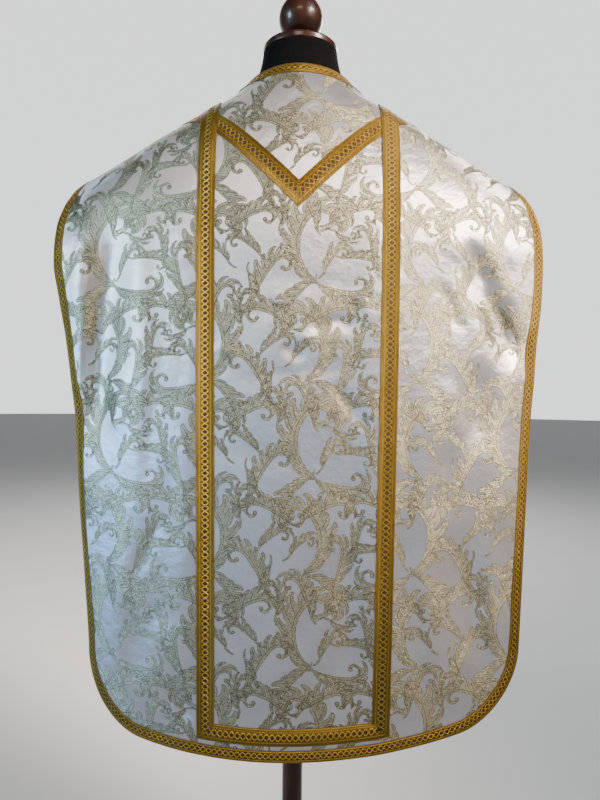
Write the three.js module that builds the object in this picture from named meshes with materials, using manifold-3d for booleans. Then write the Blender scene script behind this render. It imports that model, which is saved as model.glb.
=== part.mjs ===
// Roman chasuble of figured brocade, trimmed with gold galloon, on a limbless dress form with a turned
// wooden cap, pole and round base. Millimetres, +Z up, origin at the centre of the underside of the base.
// The back panel faces -Y, the front panel +Y. +X is the wearer's right, the wearer's left shoulder is at -X.
import * as THREE from "three";
import Module from "manifold-3d";

const { Manifold, Mesh: SolidMesh } = await Module().then((kit) => (kit.setup(), kit));

// ---- cloth and seams ----
const CLOTH = 1.5; // brocade, interlining and lining sewn as one wall
const GALLOON = 1.0; // woven braid
const SEAM = 0.3; // space between pieces that are sewn together
const EDGE_WIDTH = 17; // narrow galloon round the free edges
const NECK_WIDTH = 19; // narrow galloon round the neck, turned over the edge
const BAND_WIDTH = 26; // wide galloon of the two upright bands and the foot band
const V_WIDTH = 28; // the same galloon laid on the slant
const BAND_X = { top: 132, foot: 126.5 }; // centre line of an upright band
const V_TIP = { back: 1248, front: 1196 }; // height of the point of each V on the centre line
const V_SLOPE = 0.97; // rise of a V arm over its run, on the flat cloth
const FOOT_RISE = 23; // hem edge to the lower edge of the foot band
const CORNER = 88; // rounded bottom corners

// ---- shoulder seam, from the neck to the tip: half width and height ----
const SHOULDER = [
  { x: 74, z: 1484 },
  { x: 79, z: 1474 },
  { x: 86, z: 1463 },
  { x: 104, z: 1447 },
  { x: 121, z: 1435 },
  { x: 150, z: 1420 },
  { x: 190, z: 1399 },
  { x: 230, z: 1378 },
  { x: 274, z: 1352 },
  { x: 320, z: 1325 },
  { x: 345, z: 1311 },
];
const NECK_SIDE = { x: 86, z: 1463 };
const TIP = { x: 345, z: 1311 };
const TIP_SPREAD = -1.45; // how fast the rings widen below the tip, mm a mm

// ---- rings of the two panels: distance of the centre from the shoulder plane, and how pinched ----
const DEPTHS = [
  { z: 1500, back: 60, front: 52, pinch: 0.5 },
  { z: 1475, back: 74, front: 66, pinch: 0.5 },
  { z: 1450, back: 86, front: 80, pinch: 0.5 },
  { z: 1400, back: 102, front: 106, pinch: 0.54 },
  { z: 1350, back: 116, front: 126, pinch: 0.64 },
  { z: 1311, back: 123, front: 136, pinch: 0.7 },
  { z: 1268, back: 127, front: 142, pinch: 0.62 },
  { z: 1200, back: 130, front: 146, pinch: 0.5 },
  { z: 1050, back: 130, front: 142, pinch: 0.5 },
  { z: 900, back: 126, front: 134, pinch: 0.5 },
  { z: 700, back: 118, front: 126, pinch: 0.5 },
  { z: 455, back: 110, front: 120, pinch: 0.5 },
  { z: 380, back: 108, front: 118, pinch: 0.5 },
];
// ---- sides below the tip: half width of the cut edge, and of the ring that it lies on ----
const BACK_SIDES = [
  { z: 1292, leftEdge: 351, leftRing: 368, rightEdge: 353, rightRing: 370 },
  { z: 1268, leftEdge: 360, leftRing: 388, rightEdge: 362, rightRing: 390 },
  { z: 1235, leftEdge: 366, leftRing: 404, rightEdge: 367, rightRing: 406 },
  { z: 1181, leftEdge: 367, leftRing: 413, rightEdge: 367, rightRing: 416 },
  { z: 1127, leftEdge: 359, leftRing: 402, rightEdge: 365, rightRing: 417 },
  { z: 1066, leftEdge: 350, leftRing: 382, rightEdge: 358, rightRing: 416 },
  { z: 1006, leftEdge: 344, leftRing: 368, rightEdge: 354, rightRing: 414 },
  { z: 945, leftEdge: 338, leftRing: 358, rightEdge: 349, rightRing: 412 },
  { z: 825, leftEdge: 334, leftRing: 347, rightEdge: 343, rightRing: 420 },
  { z: 704, leftEdge: 326, leftRing: 337, rightEdge: 338, rightRing: 432 },
  { z: 584, leftEdge: 317, leftRing: 330, rightEdge: 333, rightRing: 441 },
  { z: 455, leftEdge: 312, leftRing: 329, rightEdge: 328, rightRing: 445 },
  { z: 360, leftEdge: 310, leftRing: 330, rightEdge: 325, rightRing: 446 },
];
const FRONT_SIDES = [
  { z: 1292, leftEdge: 322, leftRing: 361, rightEdge: 322, rightRing: 361 },
  { z: 1262, leftEdge: 293, leftRing: 370, rightEdge: 293, rightRing: 370 },
  { z: 1220, leftEdge: 268, leftRing: 370, rightEdge: 268, rightRing: 370 },
  { z: 1160, leftEdge: 252, leftRing: 360, rightEdge: 252, rightRing: 360 },
  { z: 1080, leftEdge: 247, leftRing: 345, rightEdge: 247, rightRing: 346 },
  { z: 980, leftEdge: 251, leftRing: 334, rightEdge: 251, rightRing: 337 },
  { z: 860, leftEdge: 262, leftRing: 330, rightEdge: 261, rightRing: 336 },
  { z: 700, leftEdge: 279, leftRing: 335, rightEdge: 277, rightRing: 342 },
  { z: 560, leftEdge: 292, leftRing: 345, rightEdge: 290, rightRing: 352 },
  { z: 455, leftEdge: 299, leftRing: 352, rightEdge: 297, rightRing: 358 },
  { z: 360, leftEdge: 303, leftRing: 356, rightEdge: 301, rightRing: 362 },
];
const HEM = {
  back: { z: 455, bow: 0.0005, tilt: 0.029 }, // height at the centre, and how it rises to the sides
  front: { z: 470, bow: 0.0005, tilt: -0.006 },
};
const NECKLINE = { back: { z: 1475, power: 2 }, front: { z: 1352, power: 2.3 } };

// ---- largest folds: from one end to the other, height of the crest (a hollow is below 0) and spread ----
const FOLDS = {
  back: [
    { x0: -262, z0: 1216, x1: -303, z1: 915, out: -11, spread: 27 }, // hollow down the left side
    { x0: -208, z0: 1150, x1: -238, z1: 720, out: 5, spread: 34 },
    { x0: 256, z0: 1188, x1: 330, z1: 1046, out: -9, spread: 20 }, // slanting hollow at the right
    { x0: 262, z0: 1022, x1: 268, z1: 915, out: -6, spread: 26 },
    { x0: 238, z0: 760, x1: 272, z1: 590, out: -9, spread: 27 },
    { x0: 184, z0: 1010, x1: 188, z1: 610, out: 5, spread: 26 },
    { x0: 306, z0: 900, x1: 303, z1: 620, out: 5, spread: 22 },
    { x0: -186, z0: 640, x1: -212, z1: 545, out: 4, spread: 24 },
  ],
  front: [
    { x0: -172, z0: 1120, x1: -206, z1: 700, out: -8, spread: 26 },
    { x0: 176, z0: 1060, x1: 214, z1: 640, out: -9, spread: 27 },
    { x0: 168, z0: 620, x1: 186, z1: 540, out: 4, spread: 24 },
    { x0: -226, z0: 640, x1: -238, z1: 560, out: 4, spread: 22 },
  ],
};

// ---- dress form ----
const NECK = { top: 1525, radius: 58.5 }; // cloth neck under the wooden cap
const CAP = { z: 1525, thick: 12, radius: 59 };
const KNOB = [
  { r: 21, z: 0 },
  { r: 23, z: 3 },
  { r: 19.5, z: 10 },
  { r: 21, z: 16 },
  { r: 28, z: 24 },
  { r: 33.5, z: 35 },
  { r: 35.2, z: 46 },
  { r: 34, z: 56 },
  { r: 29.5, z: 66 },
  { r: 23, z: 73 },
  { r: 16, z: 77 },
  { r: 14, z: 78.4 },
];
const TORSO = [
  { z: 1525, half: 58.5, back: 57, front: 57 },
  { z: 1508, half: 61, back: 59, front: 58 },
  { z: 1490, half: 65.5, back: 63, front: 60 },
  { z: 1474, half: 70.5, back: 66, front: 62 },
  { z: 1464, half: 78, back: 71, front: 66 },
  { z: 1457, half: 90, back: 82, front: 72 },
  { z: 1440, half: 134, back: 98, front: 82 },
  { z: 1420, half: 178, back: 108, front: 92 },
  { z: 1400, half: 203, back: 113, front: 101 },
  { z: 1376, half: 213, back: 117, front: 111 },
  { z: 1340, half: 216, back: 119, front: 124 },
  { z: 1290, half: 211, back: 117, front: 133 },
  { z: 1220, half: 196, back: 112, front: 135 },
  { z: 1140, half: 172, back: 104, front: 122 },
  { z: 1060, half: 156, back: 99, front: 109 },
  { z: 1000, half: 158, back: 103, front: 108 },
  { z: 930, half: 173, back: 113, front: 112 },
  { z: 860, half: 182, back: 116, front: 113 },
  { z: 800, half: 181, back: 113, front: 110 },
  { z: 764, half: 176, back: 109, front: 107 },
  { z: 760, half: 172, back: 105, front: 103 },
];
const POLE = { radius: 16, collar: 30, collarHeight: 26 };
const BASE = { radius: 205, thick: 20, crown: 40 };

// ---- grids ----
const PANEL_ROWS = { back: 18, front: 15 };
const ROW_GROWTH = { back: 1.35, front: 1.35 }; // rows are closer at the shoulder than at the hem
// columns a side: round the neck, from the shoulder seam, and in the rounded corner
const COLUMNS = { back: { neck: 5, body: 4, corner: 4 }, front: { neck: 5, body: 4, corner: 3 } };
const COLLAR_TOP = 1482; // panels are drawn up to here, then the neck opening is cut out of them
const NECK_TURNS = 12; // corners of each half of the neck opening
const SPREAD = 220; // length over which the columns from the neckline spread out
const CORNER_START = 0.73; // share of the half width where the rounded corner starts
const BRAID_TOLERANCE = 0.08; // flat places of a braid are joined within this
const CUTTER = 6; // how far a strip's outline reaches to either side of its braid

// Smooth curve through rows: no overshoot, and an imposed slope at one knot where it is given.
function curve(rows, key, of, knot, slopeThere) {
  const p = rows.map((r) => [r[key], r[of]]).sort((m, n) => m[0] - n[0]);
  const d = p.slice(1).map((q, i) => (q[1] - p[i][1]) / (q[0] - p[i][0]));
  const m = p.map((q, i) => {
    if (q[0] === knot) return slopeThere;
    if (i === 0) return d[0];
    if (i === p.length - 1) return d[i - 1];
    return d[i - 1] * d[i] <= 0 ? 0 : (2 * d[i - 1] * d[i]) / (d[i - 1] + d[i]);
  });
  return (x) => {
    let i = 0;
    while (i < p.length - 2 && x > p[i + 1][0]) i++;
    const h = p[i + 1][0] - p[i][0];
    const t = (x - p[i][0]) / h;
    if (t < 0) return p[0][1] + m[0] * (x - p[0][0]);
    if (t > 1) return p[i + 1][1] + m[i + 1] * (x - p[i + 1][0]);
    return (
      p[i][1] * (1 + 2 * t) * (1 - t) ** 2 +
      m[i] * h * t * (1 - t) ** 2 +
      p[i + 1][1] * t * t * (3 - 2 * t) +
      m[i + 1] * h * t * t * (t - 1)
    );
  };
}
const clamp = (v, lo, hi) => Math.min(hi, Math.max(lo, v));
const lerp = (a, b, t) => a + (b - a) * t;
const smooth = (t) => clamp(t, 0, 1) ** 2 * (3 - 2 * clamp(t, 0, 1));

const pinchAt = curve(DEPTHS, "z", "pinch");
const seamWidth = curve(SHOULDER, "z", "x");
// Height of the shoulder seam at a half width.
function seamHeight(x) {
  if (x > TIP.x) return TIP.z;
  let lo = TIP.z;
  let hi = SHOULDER[0].z;
  for (let i = 0; i < 48; i++) {
    const mid = (lo + hi) / 2;
    if (ring.back(1, mid) > x) lo = mid;
    else hi = mid;
  }
  return (lo + hi) / 2;
}
// Rings: a is the half width of the ring that a panel lies on, at each side and height.
const ring = {};
const edgeWidth = {};
for (const [face, rows] of [["back", BACK_SIDES], ["front", FRONT_SIDES]]) {
  const above = SHOULDER.map((r) => ({ z: r.z, leftRing: r.x, rightRing: r.x }));
  const left = curve([...rows, ...above], "z", "leftRing", TIP.z, TIP_SPREAD);
  const right = curve([...rows, ...above], "z", "rightRing", TIP.z, TIP_SPREAD);
  ring[face] = (side, z) => (side < 0 ? left(z) : right(z));
  const tip = { z: TIP.z, leftEdge: TIP.x, rightEdge: TIP.x };
  const leftEdge = curve([...rows, tip], "z", "leftEdge");
  const rightEdge = curve([...rows, tip], "z", "rightEdge");
  edgeWidth[face] = (side, z) => (z >= TIP.z ? TIP.x : side < 0 ? leftEdge(z) : rightEdge(z));
}
const depthAt = { back: curve(DEPTHS, "z", "back"), front: curve(DEPTHS, "z", "front") };
const OUTWARD = { back: -1, front: 1 };

// Outward swell of the folds at a place on a panel.
function swell(face, x, z) {
  let out = 0;
  for (const f of FOLDS[face]) {
    const dx = f.x1 - f.x0;
    const dz = f.z1 - f.z0;
    const t = ((x - f.x0) * dx + (z - f.z0) * dz) / (dx * dx + dz * dz);
    const away = Math.abs((x - f.x0) * dz - (z - f.z0) * dx) / Math.hypot(dx, dz);
    const fade = smooth((t + 0.22) / 0.44) * smooth((1.22 - t) / 0.44);
    out += f.out * Math.exp(-((away / f.spread) ** 2)) * fade;
  }
  return out;
}
// Point of the inner face of a panel and its outward normal, at a place seen square on.
function onCloth(face, x, z, seamShift = SEAM / 2) {
  const s = OUTWARD[face];
  const side = x < 0 ? -1 : 1;
  const a = ring[face](side, z);
  const b = depthAt[face](z);
  const p = pinchAt(z);
  const open = clamp(1 - (x / a) ** 2, 0, 1);
  const q = open < 1e-6 ? 0 : open;
  const step = 0.5;
  const da = (ring[face](side, z + step) - ring[face](side, z - step)) / (2 * step);
  const db = (depthAt[face](z + step) - depthAt[face](z - step)) / (2 * step);
  const dp = (pinchAt(z + step) - pinchAt(z - step)) / (2 * step);
  const hold = q ** (1 - p);
  const fx = (swell(face, x + 1, z) - swell(face, x - 1, z)) / 2;
  const fz = (swell(face, x, z + 1) - swell(face, x, z - 1)) / 2;
  const log = q > 1e-9 ? q * Math.log(q) : 0;
  const n = new THREE.Vector3(
    (2 * b * p * x) / (a * a) - fx * hold,
    s * hold,
    -db * q - (2 * b * p * x * x * da) / a ** 3 - b * log * dp - fz * hold,
  ).normalize();
  const y = s * (b * q ** p + swell(face, x, z) * smooth(q * 4) + seamShift);
  return { p: new THREE.Vector3(x, y, z), n };
}
const hemHeight = (face, x, z) => {
  const side = x < 0 ? -1 : 1;
  const start = edgeWidth[face](side, z) - CORNER;
  const q = clamp((Math.abs(x) - start) / CORNER, 0, 1);
  return hemLine(face, x) + CORNER * (1 - Math.sqrt(1 - q * q));
};
const hemLine = (face, x) => HEM[face].z + HEM[face].bow * x * x + HEM[face].tilt * x;
function neckHeight(face, x) {
  const t = clamp(Math.abs(x) / NECK_SIDE.x, 0, 1);
  return lerp(NECKLINE[face].z, NECK_SIDE.z, t ** NECKLINE[face].power);
}
const topHeight = (face, x) => (Math.abs(x) < NECK_SIDE.x ? neckHeight(face, x) : seamHeight(Math.abs(x)));
const collarHeight = (x) => (Math.abs(x) < seamWidth(COLLAR_TOP) ? COLLAR_TOP : seamHeight(Math.abs(x)));

// A way down the cloth between two heights, cut into lengths that grow from the seam: x may follow z.
function wayDown(face, xAt, top, foot, fractions) {
  const fine = 260;
  const places = [];
  let run = 0;
  for (let i = 0; i <= fine; i++) {
    const z = top - (top - foot) * (i / fine) ** 2;
    const here = onCloth(face, xAt(z), z).p;
    if (i) run += here.distanceTo(places[i - 1].here);
    places.push({ here, z, run });
  }
  return fractions.map((f) => {
    const want = f * run;
    let i = 1;
    while (i < fine && places[i].run < want) i++;
    const a = places[i - 1];
    const b = places[i];
    return lerp(a.z, b.z, clamp((want - a.run) / (b.run - a.run), 0, 1));
  });
}

// Closed wall over a grid of places: from `low` to `high` above the inner face of the cloth.
function wall(grid, low, high, around = false) {
  const rows = grid.length;
  const cols = grid[0].length;
  const position = [];
  for (const h of [high, low]) {
    for (const row of grid) {
      for (const c of row) {
        const lift = (c.lift ?? 0) + h;
        position.push(c.p.x + c.n.x * lift, c.p.y + c.n.y * lift, c.p.z + c.n.z * lift);
      }
    }
  }
  const at = (k, i, j) => k * rows * cols + (i % rows) * cols + j;
  const index = [];
  const quad = (a, b, c, d) => index.push(a, b, c, a, c, d);
  const last = around ? rows : rows - 1;
  for (let i = 0; i < last; i++) {
    for (let j = 0; j < cols - 1; j++) {
      quad(at(0, i, j), at(0, i + 1, j), at(0, i + 1, j + 1), at(0, i, j + 1));
      quad(at(1, i, j), at(1, i, j + 1), at(1, i + 1, j + 1), at(1, i + 1, j));
    }
    quad(at(0, i, 0), at(1, i, 0), at(1, i + 1, 0), at(0, i + 1, 0));
    quad(at(0, i, cols - 1), at(0, i + 1, cols - 1), at(1, i + 1, cols - 1), at(1, i, cols - 1));
  }
  if (!around) {
    for (let j = 0; j < cols - 1; j++) {
      quad(at(0, 0, j), at(0, 0, j + 1), at(1, 0, j + 1), at(1, 0, j));
      quad(at(0, rows - 1, j), at(1, rows - 1, j), at(1, rows - 1, j + 1), at(0, rows - 1, j + 1));
    }
  }
  return faced(position, index);
}
// The same triangles with their faces turned outwards, by the sign of the volume.
function faced(position, index) {
  let volume = 0;
  const at = (i) => new THREE.Vector3().fromArray(position, index[i] * 3);
  for (let i = 0; i < index.length; i += 3) volume += at(i).dot(at(i + 1).cross(at(i + 2)));
  if (volume < 0) {
    for (let i = 0; i < index.length; i += 3) [index[i], index[i + 1]] = [index[i + 1], index[i]];
  }
  const g = new THREE.BufferGeometry();
  g.setAttribute("position", new THREE.Float32BufferAttribute(position, 3));
  g.setIndex(index);
  g.computeVertexNormals();
  return g;
}
// Closed turned body from a profile of radii and heights.
function turned(profile, sides) {
  const rings = profile.map(({ r, z }) =>
    Array.from({ length: sides }, (_, k) => {
      const t = (2 * Math.PI * k) / sides;
      return [r * Math.cos(t), r * Math.sin(t), z];
    }),
  );
  return ringsToSolid(rings);
}
// Closed body from rings of points, capped at both ends.
function ringsToSolid(rings) {
  const sides = rings[0].length;
  const position = rings.flat(2);
  const index = [];
  for (let i = 0; i < rings.length - 1; i++) {
    for (let k = 0; k < sides; k++) {
      const a = i * sides + k;
      const b = i * sides + ((k + 1) % sides);
      index.push(a, b, b + sides, a, b + sides, a + sides);
    }
  }
  for (const [i, flip] of [[0, true], [rings.length - 1, false]]) {
    const centre = position.length / 3;
    const mid = rings[i].reduce((m, q) => [m[0] + q[0] / sides, m[1] + q[1] / sides, m[2] + q[2] / sides], [0, 0, 0]);
    position.push(...mid);
    for (let k = 0; k < sides; k++) {
      const a = i * sides + k;
      const b = i * sides + ((k + 1) % sides);
      index.push(...(flip ? [centre, b, a] : [centre, a, b]));
    }
  }
  return faced(position, index);
}

// ---- the panels ----
// Columns: where each starts at the collar or the seam, and its share of the half width at the hem.
function panelColumns(face) {
  const { neck, body, corner } = COLUMNS[face];
  const half = [];
  for (let i = 1; i <= neck; i++) {
    const x = NECK_SIDE.x * Math.sin((Math.PI / 2) * (i / neck));
    half.push({ x, share: (CORNER_START * i) / (neck + body) });
  }
  for (let i = 1; i <= body; i++) {
    const x = lerp(NECK_SIDE.x, CORNER_START * TIP.x, i / body);
    half.push({ x, share: (CORNER_START * (neck + i)) / (neck + body) });
  }
  for (let i = 1; i <= corner; i++) {
    const share = lerp(CORNER_START, 1, Math.sin((Math.PI / 2) * (i / corner)));
    half.push({ x: share * TIP.x, share });
  }
  return [...half.map(({ x, share }) => ({ x: -x, share: -share })).reverse(), { x: 0, share: 0 }, ...half];
}
// A panel's inner face as columns of places, from the seam or the neckline down to the hem.
function panelGrid(face, seamShift = SEAM / 2) {
  const rows = PANEL_ROWS[face];
  const fractions = Array.from({ length: rows + 1 }, (_, k) => (k / rows) ** ROW_GROWTH[face]);
  return panelColumns(face).map((c) => {
    const side = c.share < 0 ? -1 : 1;
    const top = collarHeight(c.x);
    const xAt = (z) => {
      const width = edgeWidth[face](side, z);
      return lerp((c.x / TIP.x) * width, c.share * width, smooth((top - z) / SPREAD));
    };
    let foot = HEM[face].z;
    for (let i = 0; i < 12; i++) foot = hemHeight(face, xAt(foot), foot);
    return wayDown(face, xAt, top, foot, fractions).map((z) => onCloth(face, xAt(z), z, seamShift));
  });
}
const laid = CLOTH + SEAM; // lower face of whatever lies on a panel

// ---- braid: the panel's own grid moved out by the seam, cut to the outline of a strip ----
function solid(geometry) {
  const vertProperties = geometry.getAttribute("position").array;
  return new Manifold(new SolidMesh({ numProp: 3, vertProperties, triVerts: new Uint32Array(geometry.index.array) }));
}
function braid(sheets, outline, { around = false, low = laid } = {}) {
  const sheet = sheets.map((grid) => solid(wall(grid, low, low + GALLOON))).reduce((m, n) => m.add(n));
  const cut = sheet.intersect(solid(wall(outline, low - CUTTER, low + GALLOON + CUTTER, around)));
  return shape(cut.simplify(BRAID_TOLERANCE));
}
// Geometry of a solid's largest body.
function shape(cut) {
  const body = cut.decompose().reduce((m, n) => (n.volume() > m.volume() ? n : m));
  const { vertProperties, triVerts } = body.getMesh();
  const g = new THREE.BufferGeometry();
  g.setAttribute("position", new THREE.Float32BufferAttribute(vertProperties, 3));
  g.setIndex([...triVerts]);
  g.computeVertexNormals();
  return g;
}

// ---- galloon round the free edge: down one side, along the hem and up the other ----
function edgeGrid(face) {
  const outer = [];
  for (const side of [-1, 1]) {
    const down = [];
    const foot = HEM[face].z + CORNER + HEM[face].bow * 1e5 + side * HEM[face].tilt * 320;
    const n = 14;
    for (let i = 0; i <= n; i++) {
      const z = TIP.z - (TIP.z - foot) * (i / n) ** 1.7;
      down.push({ x: side * edgeWidth[face](side, z), z });
    }
    for (let i = 1; i <= 6; i++) {
      const angle = (Math.PI / 2) * (i / 6);
      let z = foot;
      for (let k = 0; k < 12; k++) {
        const w = edgeWidth[face](side, z);
        const x = w - CORNER * (1 - Math.cos(angle));
        z = hemHeight(face, side * x, z);
        down.x = x;
      }
      down.push({ x: side * down.x, z });
    }
    const w = Math.abs(down[down.length - 1].x);
    const m = 4;
    for (let i = 1; i <= m; i++) {
      const x = side * w * (1 - i / m);
      down.push({ x, z: hemLine(face, x) });
    }
    if (side < 0) outer.push(...down);
    else outer.push(...down.slice(0, -1).reverse());
  }
  const rows = strip(face, outer, EDGE_WIDTH);
  for (const row of [rows[0], rows[rows.length - 1]]) {
    for (const place of row) place.p.y -= OUTWARD[face] * CUTTER; // past the shoulder seam
  }
  return rows;
}
// A strip that lies inside an edge: each row runs from just past the edge to its own width inwards.
function strip(face, outer, width) {
  return outer.map((o, i) => {
    const a = outer[Math.max(0, i - 1)];
    const b = outer[Math.min(outer.length - 1, i + 1)];
    const here = onCloth(face, o.x, o.z);
    const along = onCloth(face, b.x, b.z).p.sub(onCloth(face, a.x, a.z).p).normalize();
    const inwards = along.clone().cross(here.n).normalize().multiplyScalar(OUTWARD[face]);
    const q = here.p.clone().addScaledVector(inwards, width);
    const past = { p: here.p.clone().addScaledVector(inwards, -CUTTER), n: here.n };
    return [past, onCloth(face, q.x, Math.min(q.z, topHeight(face, q.x)))];
  });
}

// ---- flat measure: v is the length down a column of the cloth from its seam ----
const DATUM = 1181; // heights on the flat cloth are counted from this ring
function flatColumn(face, x) {
  const top = topHeight(face, x);
  const fine = 200;
  const places = [];
  let run = 0;
  for (let i = 0; i <= fine; i++) {
    const z = top - (top - HEM[face].z + 20) * (i / fine) ** 2;
    const here = onCloth(face, x, z).p;
    if (i) run += here.distanceTo(places[i - 1].here);
    places.push({ here, z, run });
  }
  const datum = places.findIndex((q) => q.z < DATUM);
  const back = lerp(places[datum - 1].run, places[datum].run,
    (places[datum - 1].z - DATUM) / (places[datum - 1].z - places[datum].z));
  const heightOf = (v) => {
    const want = clamp(back - v, 0, run);
    let i = 1;
    while (i < fine && places[i].run < want) i++;
    return lerp(places[i - 1].z, places[i].z,
      clamp((want - places[i - 1].run) / (places[i].run - places[i - 1].run), 0, 1));
  };
  return { topV: back, heightOf };
}
// Flat height of a place.
function flatHeight(face, x, z) {
  const column = flatColumn(face, x);
  let lo = -900;
  let hi = column.topV;
  for (let i = 0; i < 40; i++) {
    const mid = (lo + hi) / 2;
    if (column.heightOf(mid) < z) lo = mid;
    else hi = mid;
  }
  return (lo + hi) / 2;
}

// ---- V bands: straight on the flat cloth, mitred on the centre line, cut at the shoulder seam ----
const vFoot = (face) => flatHeight(face, 0, V_TIP[face]);
const vRise = V_WIDTH * Math.hypot(1, V_SLOPE);
function vGrid(face, side) {
  const low = vFoot(face);
  const reach = (rise) => {
    let x = 60;
    let far = 330;
    for (let i = 0; i < 30; i++) {
      const mid = (x + far) / 2;
      if (low + rise + V_SLOPE * mid < flatColumn(face, mid).topV) x = mid;
      else far = mid;
    }
    return x;
  };
  const ends = [reach(0), reach(vRise)];
  const along = 8;
  const across = 1;
  const rows = [];
  for (let i = 0; i <= along; i++) {
    const row = [];
    for (let j = 0; j <= across; j++) {
      const end = lerp(ends[0], ends[1], j / across);
      const x = lerp(SEAM / 2, end, i / along);
      const column = flatColumn(face, side * x);
      const v = low + (vRise * j) / across + V_SLOPE * x;
      row.push(onCloth(face, side * x, i === along ? topHeight(face, x) : column.heightOf(v)));
    }
    rows.push(row);
  }
  rows.push(rows[along].map(({ p, n }) => ({ p: p.clone().setY(-OUTWARD[face] * CUTTER), n })));
  return rows;
}

// ---- upright bands and the foot band ----
const bandCentre = (z) => lerp(BAND_X.foot, BAND_X.top, clamp((z - 480) / 890, 0, 1));
const footLow = (face, x) => hemLine(face, x) + FOOT_RISE;
// How far an upright band is raised, from below the V band to the shoulder seam.
function passOver(face, x, z) {
  const inner = BAND_X.top - BAND_WIDTH / 2;
  const above = flatHeight(face, x, z) - vFoot(face) - V_SLOPE * inner;
  return (GALLOON + SEAM) * smooth((above + 78) / 28);
}
// The panel's grid for an upright band.
function raisedGrid(face, side) {
  const reach = [BAND_X.foot - BAND_WIDTH / 2 - 40, BAND_X.top + BAND_WIDTH / 2 + 40];
  const columns = panelGrid(face).filter((column) => {
    const far = side * column[column.length - 1].p.x;
    return far > reach[0] && side * column[0].p.x < reach[1];
  });
  for (const place of columns.flat()) {
    if (place.p.z > V_TIP[face] - 60) place.lift = passOver(face, place.p.x, place.p.z);
  }
  return columns;
}
function uprightGrid(face, side) {
  const fractions = [];
  for (let i = 0; i <= 11; i++) fractions.push((i / 11) ** 1.8);
  const columns = [];
  for (const j of [0, 1]) {
    const shift = BAND_WIDTH * (j - 0.5); // from the inner edge of the band to its outer edge
    const xAt = (z) => side * (bandCentre(z) + shift);
    const top = topHeight(face, xAt(1450));
    const foot = footLow(face, xAt(480)) + BAND_WIDTH * (1 - j);
    columns.push(wayDown(face, xAt, top, foot, fractions).map((z) => onCloth(face, xAt(z), z)));
  }
  const rows = columns[0].map((_, i) => columns.map((c) => c[i]));
  rows.unshift(rows[0].map(({ p, n }) => ({ p: p.clone().setY(-OUTWARD[face] * CUTTER), n })));
  return rows;
}
function footGrid(face) {
  const along = 4;
  const rows = [];
  for (let i = 0; i <= along; i++) {
    const row = [];
    for (const j of [0, 1]) {
      const half = bandCentre(480) + BAND_WIDTH * (0.5 - j) - SEAM * Math.SQRT2;
      const x = lerp(-half, half, i / along);
      row.push(onCloth(face, x, footLow(face, x) + BAND_WIDTH * j));
    }
    rows.push(row);
  }
  return rows;
}

// ---- galloon round the neck: one ring over both panels ----
// Corners of the neck opening round both panels, with the way that leads from it over the cloth.
function neckRing() {
  const ringPlaces = [];
  for (const face of ["back", "front"]) {
    for (let i = face === "back" ? 0 : 1; i < NECK_TURNS + (face === "back" ? 1 : 0); i++) {
      const side = face === "back" ? 1 : -1;
      const angle = Math.PI * (i / NECK_TURNS - 0.5);
      const x = side * NECK_SIDE.x * Math.sin(angle);
      if (Math.abs(Math.abs(x) - NECK_SIDE.x) < 1e-6) {
        const out = Math.sign(x) * (NECK_SIDE.x + NECK_WIDTH * 0.82);
        const edge = onCloth(face, x, NECK_SIDE.z, 0);
        ringPlaces.push({ edge, inner: onCloth(face, out, seamHeight(Math.abs(out)), 0) });
        continue;
      }
      const edge = onCloth(face, x, neckHeight(face, x), 0);
      const before = onCloth(face, x - 1, neckHeight(face, x - 1), 0).p;
      const after = onCloth(face, x + 1, neckHeight(face, x + 1), 0).p;
      const away = after.sub(before).normalize().cross(edge.n).normalize();
      if (away.z > 0) away.negate();
      const q = edge.p.clone().addScaledVector(away, NECK_WIDTH);
      ringPlaces.push({ edge, inner: onCloth(face, q.x, Math.min(q.z, topHeight(face, q.x)), 0) });
    }
  }
  return ringPlaces;
}
// The neck opening: square to the cloth at its edge, then straight up.
function neckOpening() {
  const places = neckRing();
  const ringAt = (reach) => places.map(({ edge }) => edge.p.clone().addScaledVector(edge.n, reach).toArray());
  const above = ringAt(8).map(([x, y]) => [x, y, COLLAR_TOP + 60]);
  return solid(ringsToSolid([ringAt(-8), ringAt(8), above]));
}

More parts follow.
